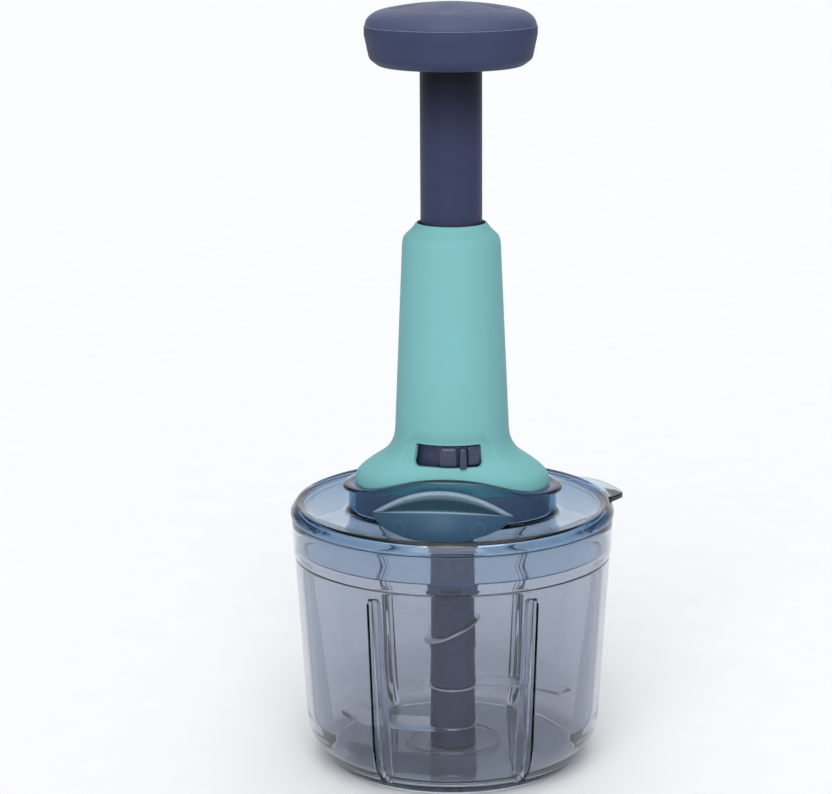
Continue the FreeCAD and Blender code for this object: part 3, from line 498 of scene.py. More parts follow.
def makeBowl():
    b = bowl
    sideR, cornerZ = b["sideLow"], b["sideZ"]
    # heights of the rows up the outer wall, close together where the slots end
    heights = [20 + 2.7 * k for k in range(25)] + [89.5 + 0.5 * k for k in range(17)] + [98.6, 99.6]
    lean = (b["stepR"] - sideR) / (b["stepZ"] - cornerZ)
    outer = [(b["pinR"], b["padZ"])] + runPoints((6, b["padZ"]), (b["padR"] - 0.3, b["padZ"]), 17)
    outer += [(b["padR"] - 0.1, b["padZ"]), (b["padR"], b["padZ"] - 0.1), (b["padR"], b["baseZ"] + 0.1),
              (b["padR"] + 0.1, b["baseZ"])]
    # bevelled lower corner
    outer += [(57.2, 1.55), (58.6, 1.95), (59.8, 2.7), (60.6, 3.7), (62.0, 5.8), (63.6, 8.2), (65.2, 10.6),
              (66.6, 12.9), (67.5, 14.8), (68.05, 16.6), (68.42, 18.4)]
    outer += [(sideR + lean * (z - cornerZ), z) for z in heights]
    outer += [(b["stepR"] + 0.08, 99.9), (b["stepR"] + 0.4, 100.35), (b["stepR"] + 0.53, 100.8)]
    outer += [(74.1, 106), (74.3, 112), (b["topR"], b["topZ"] - 0.5), (b["topR"] - 0.15, b["topZ"] - 0.12),
              (b["topR"] - 0.5, b["topZ"])]
    rimR = b["topR"] - b["rimWall"]
    inner = [(rimR + 0.4, b["topZ"]), (rimR, b["topZ"] - 0.4), (rimR, 110), (rimR, 104), (rimR, 100.3),
             (rimR - 0.15, 99.95), (b["stepR"] - b["wall"] + 0.1, 98.9), (b["stepR"] - b["wall"] - 0.05, 98.4)]
    inR = sideR - b["wall"]
    heights = [97.9] + [97.4 - 0.5 * k for k in range(17)] + [87.0 - 2.8 * k for k in range(24)]
    inner += [(inR + lean * (z - cornerZ), z) for z in heights if z > 20]
    inner += arcPoints(b["innerR"], b["floorZ"] + b["innerRound"], b["innerRound"], 0, -90, 14)
    inner += [(48, b["floorZ"]), (36, b["floorZ"]), (26, b["floorZ"])]
    inner += rounded([(22.4, 4.9, 0.4), (22.2, 6.5, 0.5), (20.8, 6.5, 0.5), (20.6, 4.9, 0.4)], 3)
    inner += [(14, 4.9), (6.6, 4.9), (6.1, 5.3), (6.0, 7.7), (5.6, 8.1), (2.9, 8.1), (b["pinR"], 7.8)]
    rows = outer + inner
    # distances from a rib's middle, close together across its edges
    dense = [0, .4, .8, 1, 1.15, 1.27, 1.4, 1.53, 1.65, 1.8, 2, 2.2, 2.35, 2.55, 2.8, 3.1, 3.5, 4, 4.6, 5.3]
    half = 33
    steps = 2 * half * b["ribs"]
    slotTop = b["slotTop"]
    ribTop = slotTop + b["ribSkin"]
    ribHalf = b["slotHalf"] + b["ribSkin"]

    def place(row, turn):
        r, z = rows[row]
        column = round(turn * steps / (2 * math.pi)) % steps
        rib, spot = divmod(column + half, 2 * half)
        spot -= half
        scale = max(r, 40.0)
        edge = dense[-1] / scale
        if abs(spot) < len(dense):
            angle = dense[abs(spot)] / scale
        else:
            share = (abs(spot) - len(dense) + 1) / (half - len(dense) + 1)
            angle = edge + (math.pi / b["ribs"] - edge) * share
        offset = r * math.sin(angle)
        if r > 50 and row < len(outer) and z > b["baseZ"] + 0.3:
            weight = insideArch(offset, z, b["slotHalf"], slotTop, b["slotSoft"])
            weight *= blendStep(b["baseZ"], b["slotFade"], z)
            r -= weight * min(b["slotDeep"], max(0.0, r - ribFace(z) - b["wall"]))
        elif r > 50 and row >= len(outer):
            weight = insideArch(offset, z, ribHalf, ribTop, b["ribSoft"])
            r -= weight * max(0.0, r - ribFace(z))
        angle = math.radians(b["firstRib"]) + rib * 2 * math.pi / b["ribs"] + math.copysign(angle, spot)
        return (r * math.cos(angle), r * math.sin(angle), z)

    piece = spinRows("clearBowl", len(rows), steps, place)
    smooth(piece, 42)
    dress(piece, "bowl_clear", "bowl", "bowl")


makeBowl()


pad = {"r": 56.0, "thick": 2.8, "edge": 0.5, "grooves": (18, 32, 46), "groove": 0.5}


def makePad():
    # soft disc under the bowl with three fine grooves in its tread
    deep = pad["groove"]
    outline = [(0, 0)]
    for r in pad["grooves"]:
        outline += [(r - 0.8, 0), (r - 0.5, deep), (r + 0.5, deep), (r + 0.8, 0)]
    e = pad["edge"]
    outline += [(pad["r"] - e, 0), (pad["r"] - 0.3 * e, 0.3 * e), (pad["r"], e), (pad["r"], pad["thick"] - 0.1),
                (pad["r"] - 0.1, pad["thick"]), (0, pad["thick"])]
    piece = spun("footPad", outline, 160, closed=False)
    smooth(piece, 40)
    dress(piece, "foot_rubber", "bowl", "anti_slip_foot")


makePad()
print("bowl ready")


lid = {"holeR": 13.0, "sleeveR": 14.8, "sleeveLow": 106.0, "dishZ": 118.6, "underZ": 116.4, "inA": 45.6,
       "inB": 30.4, "outA": 48.2, "outB": 33.0, "rimA": 51.0, "rimB": 35.2, "skirtR": 71.9,
       "skirtIn": 69.9, "skirtLow": 104.1, "tabTurn": 27.0}


def ring(r, z):
    return (r, r, z, 0)


def makeLidShell():
    # every row is (half width, half depth, height, share of the wave)
    c = lid
    foot = c["dishZ"]
    rows = [ring(c["holeR"], c["sleeveLow"] + 0.3), ring(c["holeR"], 112), ring(c["holeR"], foot - 0.3),
            ring(c["holeR"] + 0.3, foot)]
    rows += [ring(22, foot), (c["inA"] - 6, c["inB"] - 4, foot, 0)]
    rows += [(c["inA"] - 0.15, c["inB"] - 0.15, foot, 0), (c["inA"], c["inB"], foot + 0.15, 0)]
    rows += [(c["inA"], c["inB"], foot + 4, 0), (c["inA"], c["inB"], -8, 1), (c["inA"], c["inB"], -0.9, 1)]
    rows += [(c["inA"] + 0.15, c["inB"] + 0.15, -0.4, 1), (c["inA"] + 0.6, c["inB"] + 0.6, -0.05, 1),
             (c["inA"] + 1.4, c["inB"] + 1.3, 0.1, 1)]
    for grow, z in ((-1.8, 0.05), (-1.0, -0.1), (-0.45, -0.4), (-0.1, -0.9), (0, -1.35), (-0.15, -1.8),
                    (-0.6, -2.1), (-1.2, -2.2)):
        rows.append((c["rimA"] + grow, c["rimB"] + min(0, grow * 0.9), z, 1))
    rows += [(c["outA"] + 0.9, c["outB"] + 0.6, -2.35, 1), (c["outA"] + 0.3, c["outB"] + 0.25, -2.8, 1),
             (c["outA"], c["outB"], -3.6, 1), (c["outA"], c["outB"], -7.4, 1)]
    rows += [(c["outA"], c["outB"], foot + 3.4, 0)]
    for k in range(5):
        a = math.radians(90 * k / 4)
        rows.append((c["outA"] + 1.6 * (1 - math.cos(a)), c["outB"] + 1.6 * (1 - math.cos(a)),
                     foot + 1.6 * (1 - math.sin(a)), 0))
    rows += [(c["outA"] + 3.4, c["outB"] + 7, foot, 0), ring(54, 118.68)]
    for r, z in ((57, 119.0), (61, 119.85), (65, 121.0), (68.5, 122.25), (70.4, 123.05), (71.2, 123.42),
                 (71.7, 123.5), (72.2, 123.25), (72.9, 122.5), (73.7, 121.4), (74.4, 120.4), (74.85, 119.5),
                 (75.0, 118.9), (75.0, 118.1), (74.8, 117.65), (74.4, 117.5), (73.0, 117.5), (72.1, 117.5)):
        rows.append(ring(r, z))
    rows += [ring(c["skirtR"], 117.2), ring(c["skirtR"], 111), ring(c["skirtR"], c["skirtLow"] + 0.5),
             ring(c["skirtR"] - 0.2, c["skirtLow"] + 0.1), ring(c["skirtR"] - 0.6, c["skirtLow"]),
             ring(c["skirtIn"] + 0.5, c["skirtLow"]), ring(c["skirtIn"], c["skirtLow"] + 0.5),
             ring(c["skirtIn"], 111), ring(c["skirtIn"], 118.9), ring(69.6, 119.8), ring(68.9, 120.1),
             ring(67.6, 119.75), ring(64.6, 118.7), ring(61, 117.6), ring(57, 116.75), ring(54, 116.45)]
    rows += [ring(50, c["underZ"]), ring(22.6, c["underZ"]), ring(22.2, c["underZ"] - 0.4), ring(22.0, 114.6),
             ring(21.6, 114.2), ring(15.6, 114.2), ring(15.0, 113.8), ring(c["sleeveR"], 113),
             ring(c["sleeveR"], 109), ring(c["sleeveR"], c["sleeveLow"] + 0.3),
             ring(c["sleeveR"] - 0.3, c["sleeveLow"]), ring(c["holeR"] + 0.3, c["sleeveLow"])]

    def place(row, turn):
        a, b, z, share = rows[row]
        x, y = a * math.cos(turn), b * math.sin(turn)
        return (x, y, z + waveZ(x) if share else z)
    return spinRows("clearLid", len(rows), 288, place)


ledge = {"half": 32.4, "tipZ": 122.9, "archZ": 136.2, "noseY": -52.0, "noseZ": 131.5, "footY": -56.0,
         "footZ": 118.5, "middle": -2.4, "bead": 1.5, "dip": 1.3, "belly": 1.6, "fill": 0.62}


def makeLedge():
    # eyebrow-shaped thumb ledge: a bead along the collar, a dished face, a crease and a full lower face
    g = ledge

    def place(u, v):
        side = 0.999 * (2 * u - 1)
        x = g["middle"] + side * g["half"]
        share = 1 - side * side
        full = share ** g["fill"]
        wallY = -lid["outB"] * math.sqrt(1 - (x / lid["outA"]) ** 2)
        arch = (wallY - 0.1, g["tipZ"] + (g["archZ"] - g["tipZ"]) * share)
        nose = (wallY + (g["noseY"] + lid["outB"]) * share, g["tipZ"] + (g["noseZ"] - g["tipZ"]) * share)
        foot = (wallY + (g["footY"] + lid["outB"]) * full, g["tipZ"] + (g["footZ"] - g["tipZ"]) * full)
        small = min(1.0, 2.2 * full)
        path = []
        r = g["bead"] * small
        for k in range(6):
            # bead, from the wall over its crown
            a = math.radians(95 + 110 * k / 5)
            path.append((arch[0] + 0.2 + r * math.cos(a), arch[1] - r + r * math.sin(a)))
        start = path[-1]
        for k in range(1, 10):
            t = k / 10
            path.append((start[0] + (nose[0] - start[0]) * t,
                         start[1] + (nose[1] - start[1]) * t - g["dip"] * share * math.sin(math.pi * t) ** 0.8))
        run = (foot[0] - nose[0], foot[1] - nose[1])
        down = [(nose[0] + run[0] * t - g["belly"] * full * math.sin(math.pi * t), nose[1] + run[1] * t)
                for t in (0.10, 0.2, 0.32, 0.44, 0.56, 0.68, 0.78, 0.87, 0.94)]
        before, after = path[-1], down[0]
        for k in range(1, 5):
            t = k / 5
            path.append(((1 - t) ** 2 * before[0] + 2 * t * (1 - t) * nose[0] + t * t * after[0],
                         (1 - t) ** 2 * before[1] + 2 * t * (1 - t) * nose[1] + t * t * after[1]))
        path += down
        under = foot[1] - 0.25 * small
        path += [foot, (foot[0] + 0.5 * small, under), ((foot[0] + wallY) / 2, under), (wallY + 0.5, under),
                 (wallY + 0.5, (foot[1] + arch[1]) / 2)]
        spot = path[round(v * len(path)) % len(path)]
        return (x, spot[0], spot[1])
    piece = sheetLoft("thumbLedge", 80, 34, place)
    smooth(piece, 50)
    dress(piece, "lid_clear", "lid", "lid", look="ledgeBlue")


def makeTab():
    # rounded tongue at the lid's edge for lifting it
    outline = [polar(70.6, -16), polar(75.5, -15.5)]
    outline += [(78.6, -16.4), (80.4, -15.4), (81.5, -13.4), (82.2, -9.5), (82.4, -4), (82.2, 2), (81.5, 7.6),
                (80.2, 12.4), (78.2, 16.4), (75.4, 19.8), (72.2, 22.2)]
    outline += [polar(70.6, a) for a in (19, 12, 5, -2, -9)]
    piece = prism("tab", outline, 119.0, 121.5)
    softEdges(piece, 0.5, 3)
    return turnedBy(piece, lid["tabTurn"])


def makeLid():
    piece = makeLidShell()
    carve(piece, makeTab(), "UNION")
    tidyMesh(piece, 2e-6)
    smooth(piece, 38)
    dress(piece, "lid_clear", "lid", "lid")


makeLid()
makeLedge()
print("lid ready")


shell = {"a": 45.0, "b": 29.8, "lowZ": 131.6, "flareZ": 158.0, "flareR": 26.2, "flareLow": 133.0,
         "shoulderR": 22.2, "shoulderZ": 246.8, "wall": 2.2, "windowHalf": 34.8, "windowLow": 145.1,
         "windowHigh": 155.2, "recess": 0.6, "recessHalf": 22.0, "recessLow": 139, "recessHigh": 158.5}
# the flare: share of its drop, share of its widening
bends = [(0, 0), (0.24, 0.07), (0.44, 0.26), (0.64, 0.66), (0.82, 0.93), (1, 1)]


def spread(drop):
    # smooth share of the flare's widening at a share of its height
    for i in range(len(bends) - 1):
        if bends[i][0] <= drop <= bends[i + 1][0]:
            x0, y0 = bends[i]
            x1, y1 = bends[i + 1]
            before = bends[i - 1] if i > 0 else (-0.3, 0)
            after = bends[i + 2] if i < len(bends) - 2 else (1.1, 1)
            m0 = (y1 - before[1]) / (x1 - before[0])
            m1 = (after[1] - y0) / (after[0] - x0)
            h = x1 - x0
            t = (drop - x0) / h
            return ((2 * t ** 3 - 3 * t ** 2 + 1) * y0 + (t ** 3 - 2 * t ** 2 + t) * h * m0
                    + (3 * t ** 2 - 2 * t ** 3) * y1 + (t ** 3 - t ** 2) * h * m1)
    return 1.0


def makeHousing():
    s = shell
    rows = []
    drops = [k / 24 for k in range(25)]
    for side in (0, 1):
        off = -s["wall"] * side
        part = [(s["a"] + off, s["b"] + off, s["flareLow"] - 0.2)]
        for drop in reversed(drops):
            grow = spread(drop)
            z = s["flareZ"] + (s["flareLow"] - s["flareZ"]) * drop
            part.append((s["flareR"] + (s["a"] - s["flareR"]) * grow + off,
                         s["flareR"] + (s["b"] - s["flareR"]) * grow + off, z))
        top = s["shoulderZ"] - (2.4 if side else 3.4)
        lean = (s["shoulderR"] + 0.2 - s["flareR"]) / (s["shoulderZ"] - 3 - s["flareZ"])
        for k in range(1, 23):
            z = s["flareZ"] + (top - s["flareZ"]) * k / 22
            part.append((s["flareR"] + lean * (z - s["flareZ"]) + off,) * 2 + (z,))
        rows.append(part)
    r = s["shoulderR"]
    crown = [(r + 0.02, 244.6), (r - 0.15, 245.7), (r - 0.6, 246.8), (r - 1.4, 247.8), (19.4, 249.1),
             (17.9, 250.6), (16.9, 251.9), (16.3, 252.75), (15.95, 253.1), (15.7, 253.2), (15.5, 253.0),
             (15.5, 251.8), (15.7, 251.2), (17.2, 249.3), (19.0, 247.3), (19.9, 245.9)]
    loop = [(s["a"], s["b"], s["lowZ"] + 0.35)] + rows[0] + [(x, x, z) for x, z in crown] + rows[1][::-1]
    off = s["wall"]
    loop += [(s["a"] - off, s["b"] - off, s["lowZ"] + 0.3), (s["a"] - off + 0.3, s["b"] - off + 0.3, s["lowZ"]),
             (s["a"] - 0.35, s["b"] - 0.35, s["lowZ"])]

    def place(row, turn):
        a, b, z = loop[row]
        if row <= len(rows[0]) and turn < 0:
            # shallow thumb recess round the window
            arc = abs(turn + math.pi / 2) * s["flareR"]
            edgeAt = s["recessHalf"]
            deep = s["recess"] * (1 - blendStep(edgeAt - 1, edgeAt, arc + 0.15 * max(0, z - 152) ** 2))
            deep *= blendStep(s["recessLow"], s["recessLow"] + 8, z)
            deep *= 1 - blendStep(s["recessHigh"] - 2, s["recessHigh"], z)
            a, b = a - deep, b - deep
        return (a * math.cos(turn), b * math.sin(turn), z)
    piece = spinRows("mintHousing", len(loop), 288, place)
    # window: square corners above, rounded ones below
    ref = s["flareR"]
    half = math.radians(s["windowHalf"]) * ref
    low, high = s["windowLow"], s["windowHigh"]
    frameLine = rounded([(-half, low, 2.6), (half, low, 2.6), (half, high, 0.9), (-half, high, 0.5)], 5)
    outline = []
    for i, p in enumerate(frameLine):
        outline += runPoints(p, frameLine[(i + 1) % len(frameLine)], 1.6)

    def bend(x, y, z):
        turn = x / ref - math.pi / 2
        return (z * math.cos(turn), z * math.sin(turn), y)
    carve(piece, prism("windowCut", outline, 20, 60, bend))
    tidyMesh(piece, 2e-6)
    smooth(piece, 32)
    dress(piece, "mint_plastic", "drive_unit", "housing")


makeHousing()


tray = {"a": 45.0, "b": 29.8, "low": 118.9, "floor": 122.1, "top": 131.5}


def makeTray():
    # oval cup that closes the housing from below
    a, b, low, floor, top = tray.values()
    loop = [(a - 0.5, b - 0.5, low), (a, b, low + 0.5), (a, b, 125), (a, b, top - 0.2), (a - 0.2, b - 0.2, top),
            (a - 2.8, b - 2.8, top), (a - 3, b - 3, top - 0.2), (a - 3, b - 3, floor + 0.6),
            (a - 3.6, b - 3.6, floor), (20, 20, floor), (12.3, 12.3, floor), (12.3, 12.3, low), (20, 20, low)]

    def place(row, turn):
        x, y, z = loop[row]
        return (x * math.cos(turn), y * math.sin(turn), z)
    piece = spinRows("baseCup", len(loop), 192, place)
    smooth(piece, 35)
    dress(piece, "inner_plastic", "drive_unit", "base_tray")


makeTray()


slide = {"r": 26.2, "innerR": 22.9, "low": 145.5, "high": 154.8, "mid": -77.1, "half": 21.1, "ringLow": 156.9,
         "ringHigh": 160.3}


def bentBlock(name, startDeg, endDeg, low, high, inR, outR, soft, slices=10):
    # rounded block that follows the column; angles from +X
    ref = slide["r"]
    x0, x1 = math.radians(startDeg) * ref, math.radians(endDeg) * ref
    clearSelection()
    bpy.ops.mesh.primitive_cube_add(size=1, location=(0, 0, 0))
    piece = bpy.context.object
    piece.name = name
    for v in piece.data.vertices:
        v.co = Vector(((x0 + x1) / 2 + v.co.x * (x1 - x0), (inR + outR) / 2 + v.co.y * (outR - inR),
                       (low + high) / 2 + v.co.z * (high - low))) * mm
    editAll(piece)
    bpy.ops.mesh.bevel(offset=soft * mm, segments=4, affect="EDGES")
    for k in range(1, slices):
        bpy.ops.mesh.select_all(action="SELECT")
        bpy.ops.mesh.bisect(plane_co=((x0 + (x1 - x0) * k / slices) * mm, 0, 0), plane_no=(1, 0, 0))
    bpy.ops.object.mode_set(mode="OBJECT")
    for v in piece.data.vertices:
        turn = v.co.x / mm / ref
        r = v.co.y / mm
        v.co = Vector((r * math.cos(turn), r * math.sin(turn), v.co.z / mm)) * mm
    tidyMesh(piece)
    return piece


def makeSlider():
    s = slide
    left, right = s["mid"] - s["half"], s["mid"] + s["half"]
    piece = bentBlock("slideButton", left, right, s["low"], s["high"], s["innerR"], 24.5, 0.4, 16)
    # name, start and end angle, low, high, inner and outer radius, edge, slices
    grips = (("block", left + 0.4, left + 17.8, s["low"] + 0.1, s["high"] - 0.3, 24.0, 27.9, 1.25, 8),
             ("rib", left + 19.6, left + 26.0, s["low"] - 0.1, s["high"] - 0.5, 24.0, 29.1, 1.0, 5),
             ("ribFoot", left + 19.7, left + 25.9, 144.9, 150.0, 28.15, 29.05, 0.42, 5),
             ("thumbPad", left + 28.0, right - 0.4, s["low"] + 0.2, s["high"] - 0.3, 24.0, 26.6, 1.1, 7),
             # inside the housing: plate, arm, ring and the two teeth that catch the plunger
             ("plate", left - 3, right + 3, s["low"], s["ringHigh"], 22.8, 23.6, 0.1, 18),
             ("arm", left, right, s["ringLow"], s["ringHigh"], 17.0, 23.3, 0.2, 16),
             ("toothNear", s["mid"] - 12, s["mid"] + 12, s["ringLow"], s["ringHigh"], 11.7, 17.5, 0.3, 8),
             ("toothFar", s["mid"] + 168, s["mid"] + 192, s["ringLow"], s["ringHigh"], 11.7, 17.5, 0.3, 8))
    for grip in grips:
        carve(piece, bentBlock(*grip), "UNION")
    band = rounded([(14.6, s["ringLow"], 0.2), (19.0, s["ringLow"], 0.2), (19.0, s["ringHigh"], 0.2),
                    (14.6, s["ringHigh"], 0.2)], 2)
    carve(piece, spun("hoop", band, 96), "UNION")
    tidyMesh(piece, 2e-6)
    smooth(piece, 40)
    dress(piece, "slider_navy", "lock_slider", "lock_slider")


makeSlider()


knob = {"turns": 192, "topRows": 20, "petals": 5, "petalDeep": 0.9, "petalWide": 3.4, "petalFirst": -90}


def makeKnob():
    cup = rounded([(14.1, 323.4, 0.25), (32.0, 323.4, 6.0), (36.5, 326.9, 3.6), (38.7, 337.6, 1.5),
                   (38.7, 341.4, 0.15), (36.2, 341.4, 0), (36.2, 338.1, 0), (33.7, 325.8, 0), (16.9, 325.8, 0),
                   (16.8, 337.8, 0.3), (1.6, 337.8, 0), (1.6, 335.0, 0), (14.1, 335.0, 0)], 5)
    piece = spun("knobCup", cup, knob["turns"])
    smooth(piece, 34)
    dress(piece, "navy_plastic", "plunger", "knob_cup")
    dome = [(0, 351.8)] + [(r, 351.8 - r * r / 283.0) for r in range(2, 29, 2)]
    dome += [(29.6, 348.72), (31.2, 348.3), (32.6, 347.85), (33.9, 347.3), (35.1, 346.6), (36.2, 345.75),
             (37.1, 344.8), (37.7, 343.8), (38.1, 342.9), (38.25, 342.1), (38.25, 341.65), (38.1, 341.5),
             (36.1, 341.5), (36.1, 338.5), (33.8, 338.5), (33.8, 345.4), (4, 349.3), (0, 349.3)]

    def place(row, turn):
        # faint petals pressed into the top
        r, z = dome[row]
        if row < knob["topRows"]:
            away = math.radians(360 / knob["petals"])
            near = (turn - math.radians(knob["petalFirst"]) + away / 2) % away - away / 2
            band = blendStep(9, 19, r) * (1 - blendStep(24, 31, r))
            z -= knob["petalDeep"] * band * math.exp(-(near * r / knob["petalWide"]) ** 2)
        return (r * math.cos(turn), r * math.sin(turn), z)
    piece = spinRows("knobDome", len(dome), knob["turns"], place, closed=False)
    smooth(piece, 34)
    dress(piece, "navy_gloss", "plunger", "knob_cover")


makeKnob()


tube = {"r": 14.0, "boreR": 12.2, "low": 223.6, "top": 335.0, "capLow": 332.0, "screwR": 1.5, "bossR": 5.0,
        "bossLow": 326.0}


def makeTube():
    t = tube
    outline = rounded([(t["r"], t["low"], 0.3), (t["r"], t["top"], 0), (t["screwR"], t["top"], 0),
                       (t["screwR"], t["bossLow"], 0), (t["bossR"], t["bossLow"], 0),
                       (t["bossR"], t["capLow"], 0), (t["boreR"], t["capLow"], 0),
                       (t["boreR"], t["low"], 0)], 3)
    piece = spun("plungerTube", outline, 160)
    smooth(piece, 34)
    dress(piece, "navy_plastic", "plunger", "plunger_tube", look="satinTube")


makeTube()


coil = {"wire": 0.65, "r": 9.6, "turns": 8, "low": 231.95, "high": 331.25, "travel": 60.0}


def makeCoil():
    # return spring, which on the real chopper shortens as the plunger goes down; here it stays one fixed coil
    c = coil
    clearSelection()
    bpy.ops.mesh.primitive_circle_add(vertices=12, radius=c["wire"] * mm,
                                      location=(c["r"] * mm, 0, c["low"] * mm), rotation=(math.pi / 2, 0, 0))
    piece = bpy.context.object
    piece.name = "returnCoil"
    bpy.ops.object.transform_apply(location=True, rotation=True, scale=True)
    screw = piece.modifiers.new("Screw", "SCREW")
    screw.axis = "Z"
    screw.steps = 48
    screw.render_steps = 48
    screw.iterations = c["turns"]
    screw.screw_offset = (c["high"] - c["low"]) / c["turns"] * mm
    bpy.ops.object.modifier_apply(modifier="Screw")
    editAll(piece)
    bpy.ops.mesh.fill_holes(sides=0)
    bpy.ops.mesh.select_all(action="SELECT")
    bpy.ops.mesh.normals_make_consistent(inside=False)
    bpy.ops.object.mode_set(mode="OBJECT")
    smooth(piece, 40)
    dress(piece, "spring_steel", "drive_unit", "return_spring")
    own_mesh(piece)


makeCoil()
print("drive unit ready")


hub = {"coreR": 6.12, "r": 10.2, "swell": 0.6, "bladeT": 1.2, "lowerZ": 13.8, "middleZ": 33.0, "stepZ": 51.4,
       "upperZ": 60.3, "bank": -25.0, "upperTurn": 92.0, "lowerTurn": 172.0, "middleTurn": -2.0,
       "flangeR": 12.7, "flangeZ": 77.4, "teeth": 4, "toothHalf": 20.7, "toothIn": 7.6, "toothOut": 11.6,
       "toothLow": 77.9, "toothTop": 83.4, "toothSoft": 0.4, "markR": 1.25, "markDeep": 0.9, "markY": -10.4,
       "markZ": 70.3}


def makeSpacer(name, low, high, *replaced, core=None):
    # tapered hub segment with rounded rims and a fine groove near its foot
    r = hub["r"]
    wide = r + hub["swell"]
    hole = hub["coreR"]
    slope = hub["swell"] / (high - low)
    outline = rounded([(wide, low, 0.5), (wide - slope * 1.6, low + 1.6, 0),
                       (wide - slope * 1.6 - 0.18, low + 1.85, 0), (wide - slope * 2.1, low + 2.1, 0),
                       (r, high, 0.45), (hole, high, 0.2), (hole, low, 0.2)], 4)
    piece = spun(name, outline, 96)
    smooth(piece, 34)
    dress(piece, "hub_slate", "blade_set", *replaced)
    return piece


def makeBase():
    z = hub["lowerZ"]
    outline = rounded([(10.8, 5.4, 0.5), (10.25, z, 0.4), (6.0, z, 0), (6.0, 74.0, 0.4), (2.56, 74.0, 0),
                       (2.56, 9.0, 0), (6.6, 8.4, 0), (6.6, 5.4, 0.2)], 4)
    piece = spun("hubBase", outline, 96)
    smooth(piece, 34)
    dress(piece, "hub_slate", "blade_set", "hub_base")


def cutTilted(piece, z, keepAbove):
    # cut a segment along the tilted seat of the upper blade
    tilt = math.radians(hub["bank"])
    turn = math.radians(hub["upperTurn"])
    normal = Vector((0, -math.sin(tilt), math.cos(tilt)))
    normal = Vector((normal.x * math.cos(turn) - normal.y * math.sin(turn),
                     normal.x * math.sin(turn) + normal.y * math.cos(turn), normal.z))
    editAll(piece)
    bpy.ops.mesh.bisect(plane_co=(0, 0, z * mm), plane_no=normal, use_fill=True,
                        clear_inner=keepAbove, clear_outer=not keepAbove)
    bpy.ops.object.mode_set(mode="OBJECT")
    tidyMesh(piece)


def toothBlock(name, mid, low, high, outR):
    # claw tooth: a bevelled piece of a ring
    half, inR, count = hub["toothHalf"], hub["toothIn"], 6
    outline = [polar(outR, mid - half + 2 * half * k / count) for k in range(count + 1)]
    outline += [polar(inR, mid + half - 2 * half * k / count) for k in range(count + 1)]
    piece = prism(name, outline, low, high)
    softEdges(piece, hub["toothSoft"], 2, 50)
    return piece


def makeHead():
    h = hub
    outline = [(h["r"], 52.0), (h["r"], h["flangeZ"] - 0.6), (h["r"] + 0.3, h["flangeZ"] - 0.1),
               (12.4, h["flangeZ"]), (h["flangeR"], h["flangeZ"] + 0.25), (h["flangeR"], h["flangeZ"] + 0.6),
               (12.5, 78.2), (6.2, 78.2), (6.2, 52.0)]
    piece = spun("hubHead", outline, 96)
    cutTilted(piece, h["upperZ"] + h["bladeT"] / math.cos(math.radians(h["bank"])), True)
    for k in range(h["teeth"]):
        turn = 360 / h["teeth"] * k
        carve(piece, toothBlock("tooth", turn, h["toothLow"], h["toothTop"], h["toothOut"]), "UNION")
    # small round mould mark on the front
    clearSelection()
    bpy.ops.mesh.primitive_cylinder_add(vertices=32, radius=h["markR"] * mm, depth=h["markDeep"] * mm,
                                        location=(0, h["markY"] * mm, h["markZ"] * mm),
                                        rotation=(math.pi / 2, 0, 0))
    mark = bpy.context.object
    bpy.ops.object.transform_apply(location=True, rotation=True, scale=True)
    softEdges(mark, 0.25, 2)
    carve(piece, mark, "UNION")
    tidyMesh(piece, 2e-6)
    smooth(piece, 34)
    dress(piece, "hub_slate", "blade_set", "hub_head")


makeBase()
makeSpacer("lowerSpacer", hub["lowerZ"] + hub["bladeT"], hub["middleZ"], "lower_spacer")
makeSpacer("middleSpacer", hub["middleZ"] + hub["bladeT"], hub["stepZ"], "middle_spacer")
cutTilted(makeSpacer("upperSpacer", hub["stepZ"], hub["upperZ"] + 12, "upper_spacer"), hub["upperZ"], False)
makeHead()


edge = {"bevel": 3.0, "reach": 56.0, "width": 13.6, "ring": 11.5, "upperRing": 14.4}


def bladeLine(inset):
    # sickle along +X; inset draws the cutting edge in for the ground bevel
    w, reach = edge["width"], edge["reach"]

    def curve(p, m, q, count):
        # arc through three points, as a parabola close enough for a thin blade
        c = [2 * m[i] - (p[i] + q[i]) / 2 for i in (0, 1)]
        return [((1 - t) ** 2 * p[0] + 2 * t * (1 - t) * c[0] + t * t * q[0],
                 (1 - t) ** 2 * p[1] + 2 * t * (1 - t) * c[1] + t * t * q[1])
                for t in (k / count for k in range(count))]
    tip = (reach - 0.3 * inset, -0.22 * w)
    hook = (0.9 * reach, -0.75 * w)
    waist = (0.5 * reach, -0.09 * w)
    line = [(0, -0.25 * w), (0, w - inset), (0.22 * reach, w - inset)]
    line += curve((0.42 * reach, w - inset), (0.78 * reach, 0.7 * w - inset), tip, 16)
    line += curve(tip, ((tip[0] + hook[0]) / 2, (tip[1] + hook[1]) / 2), hook, 4)
    line += curve(hook, (0.7 * reach, -0.3 * w), waist, 12) + [waist]
    return line


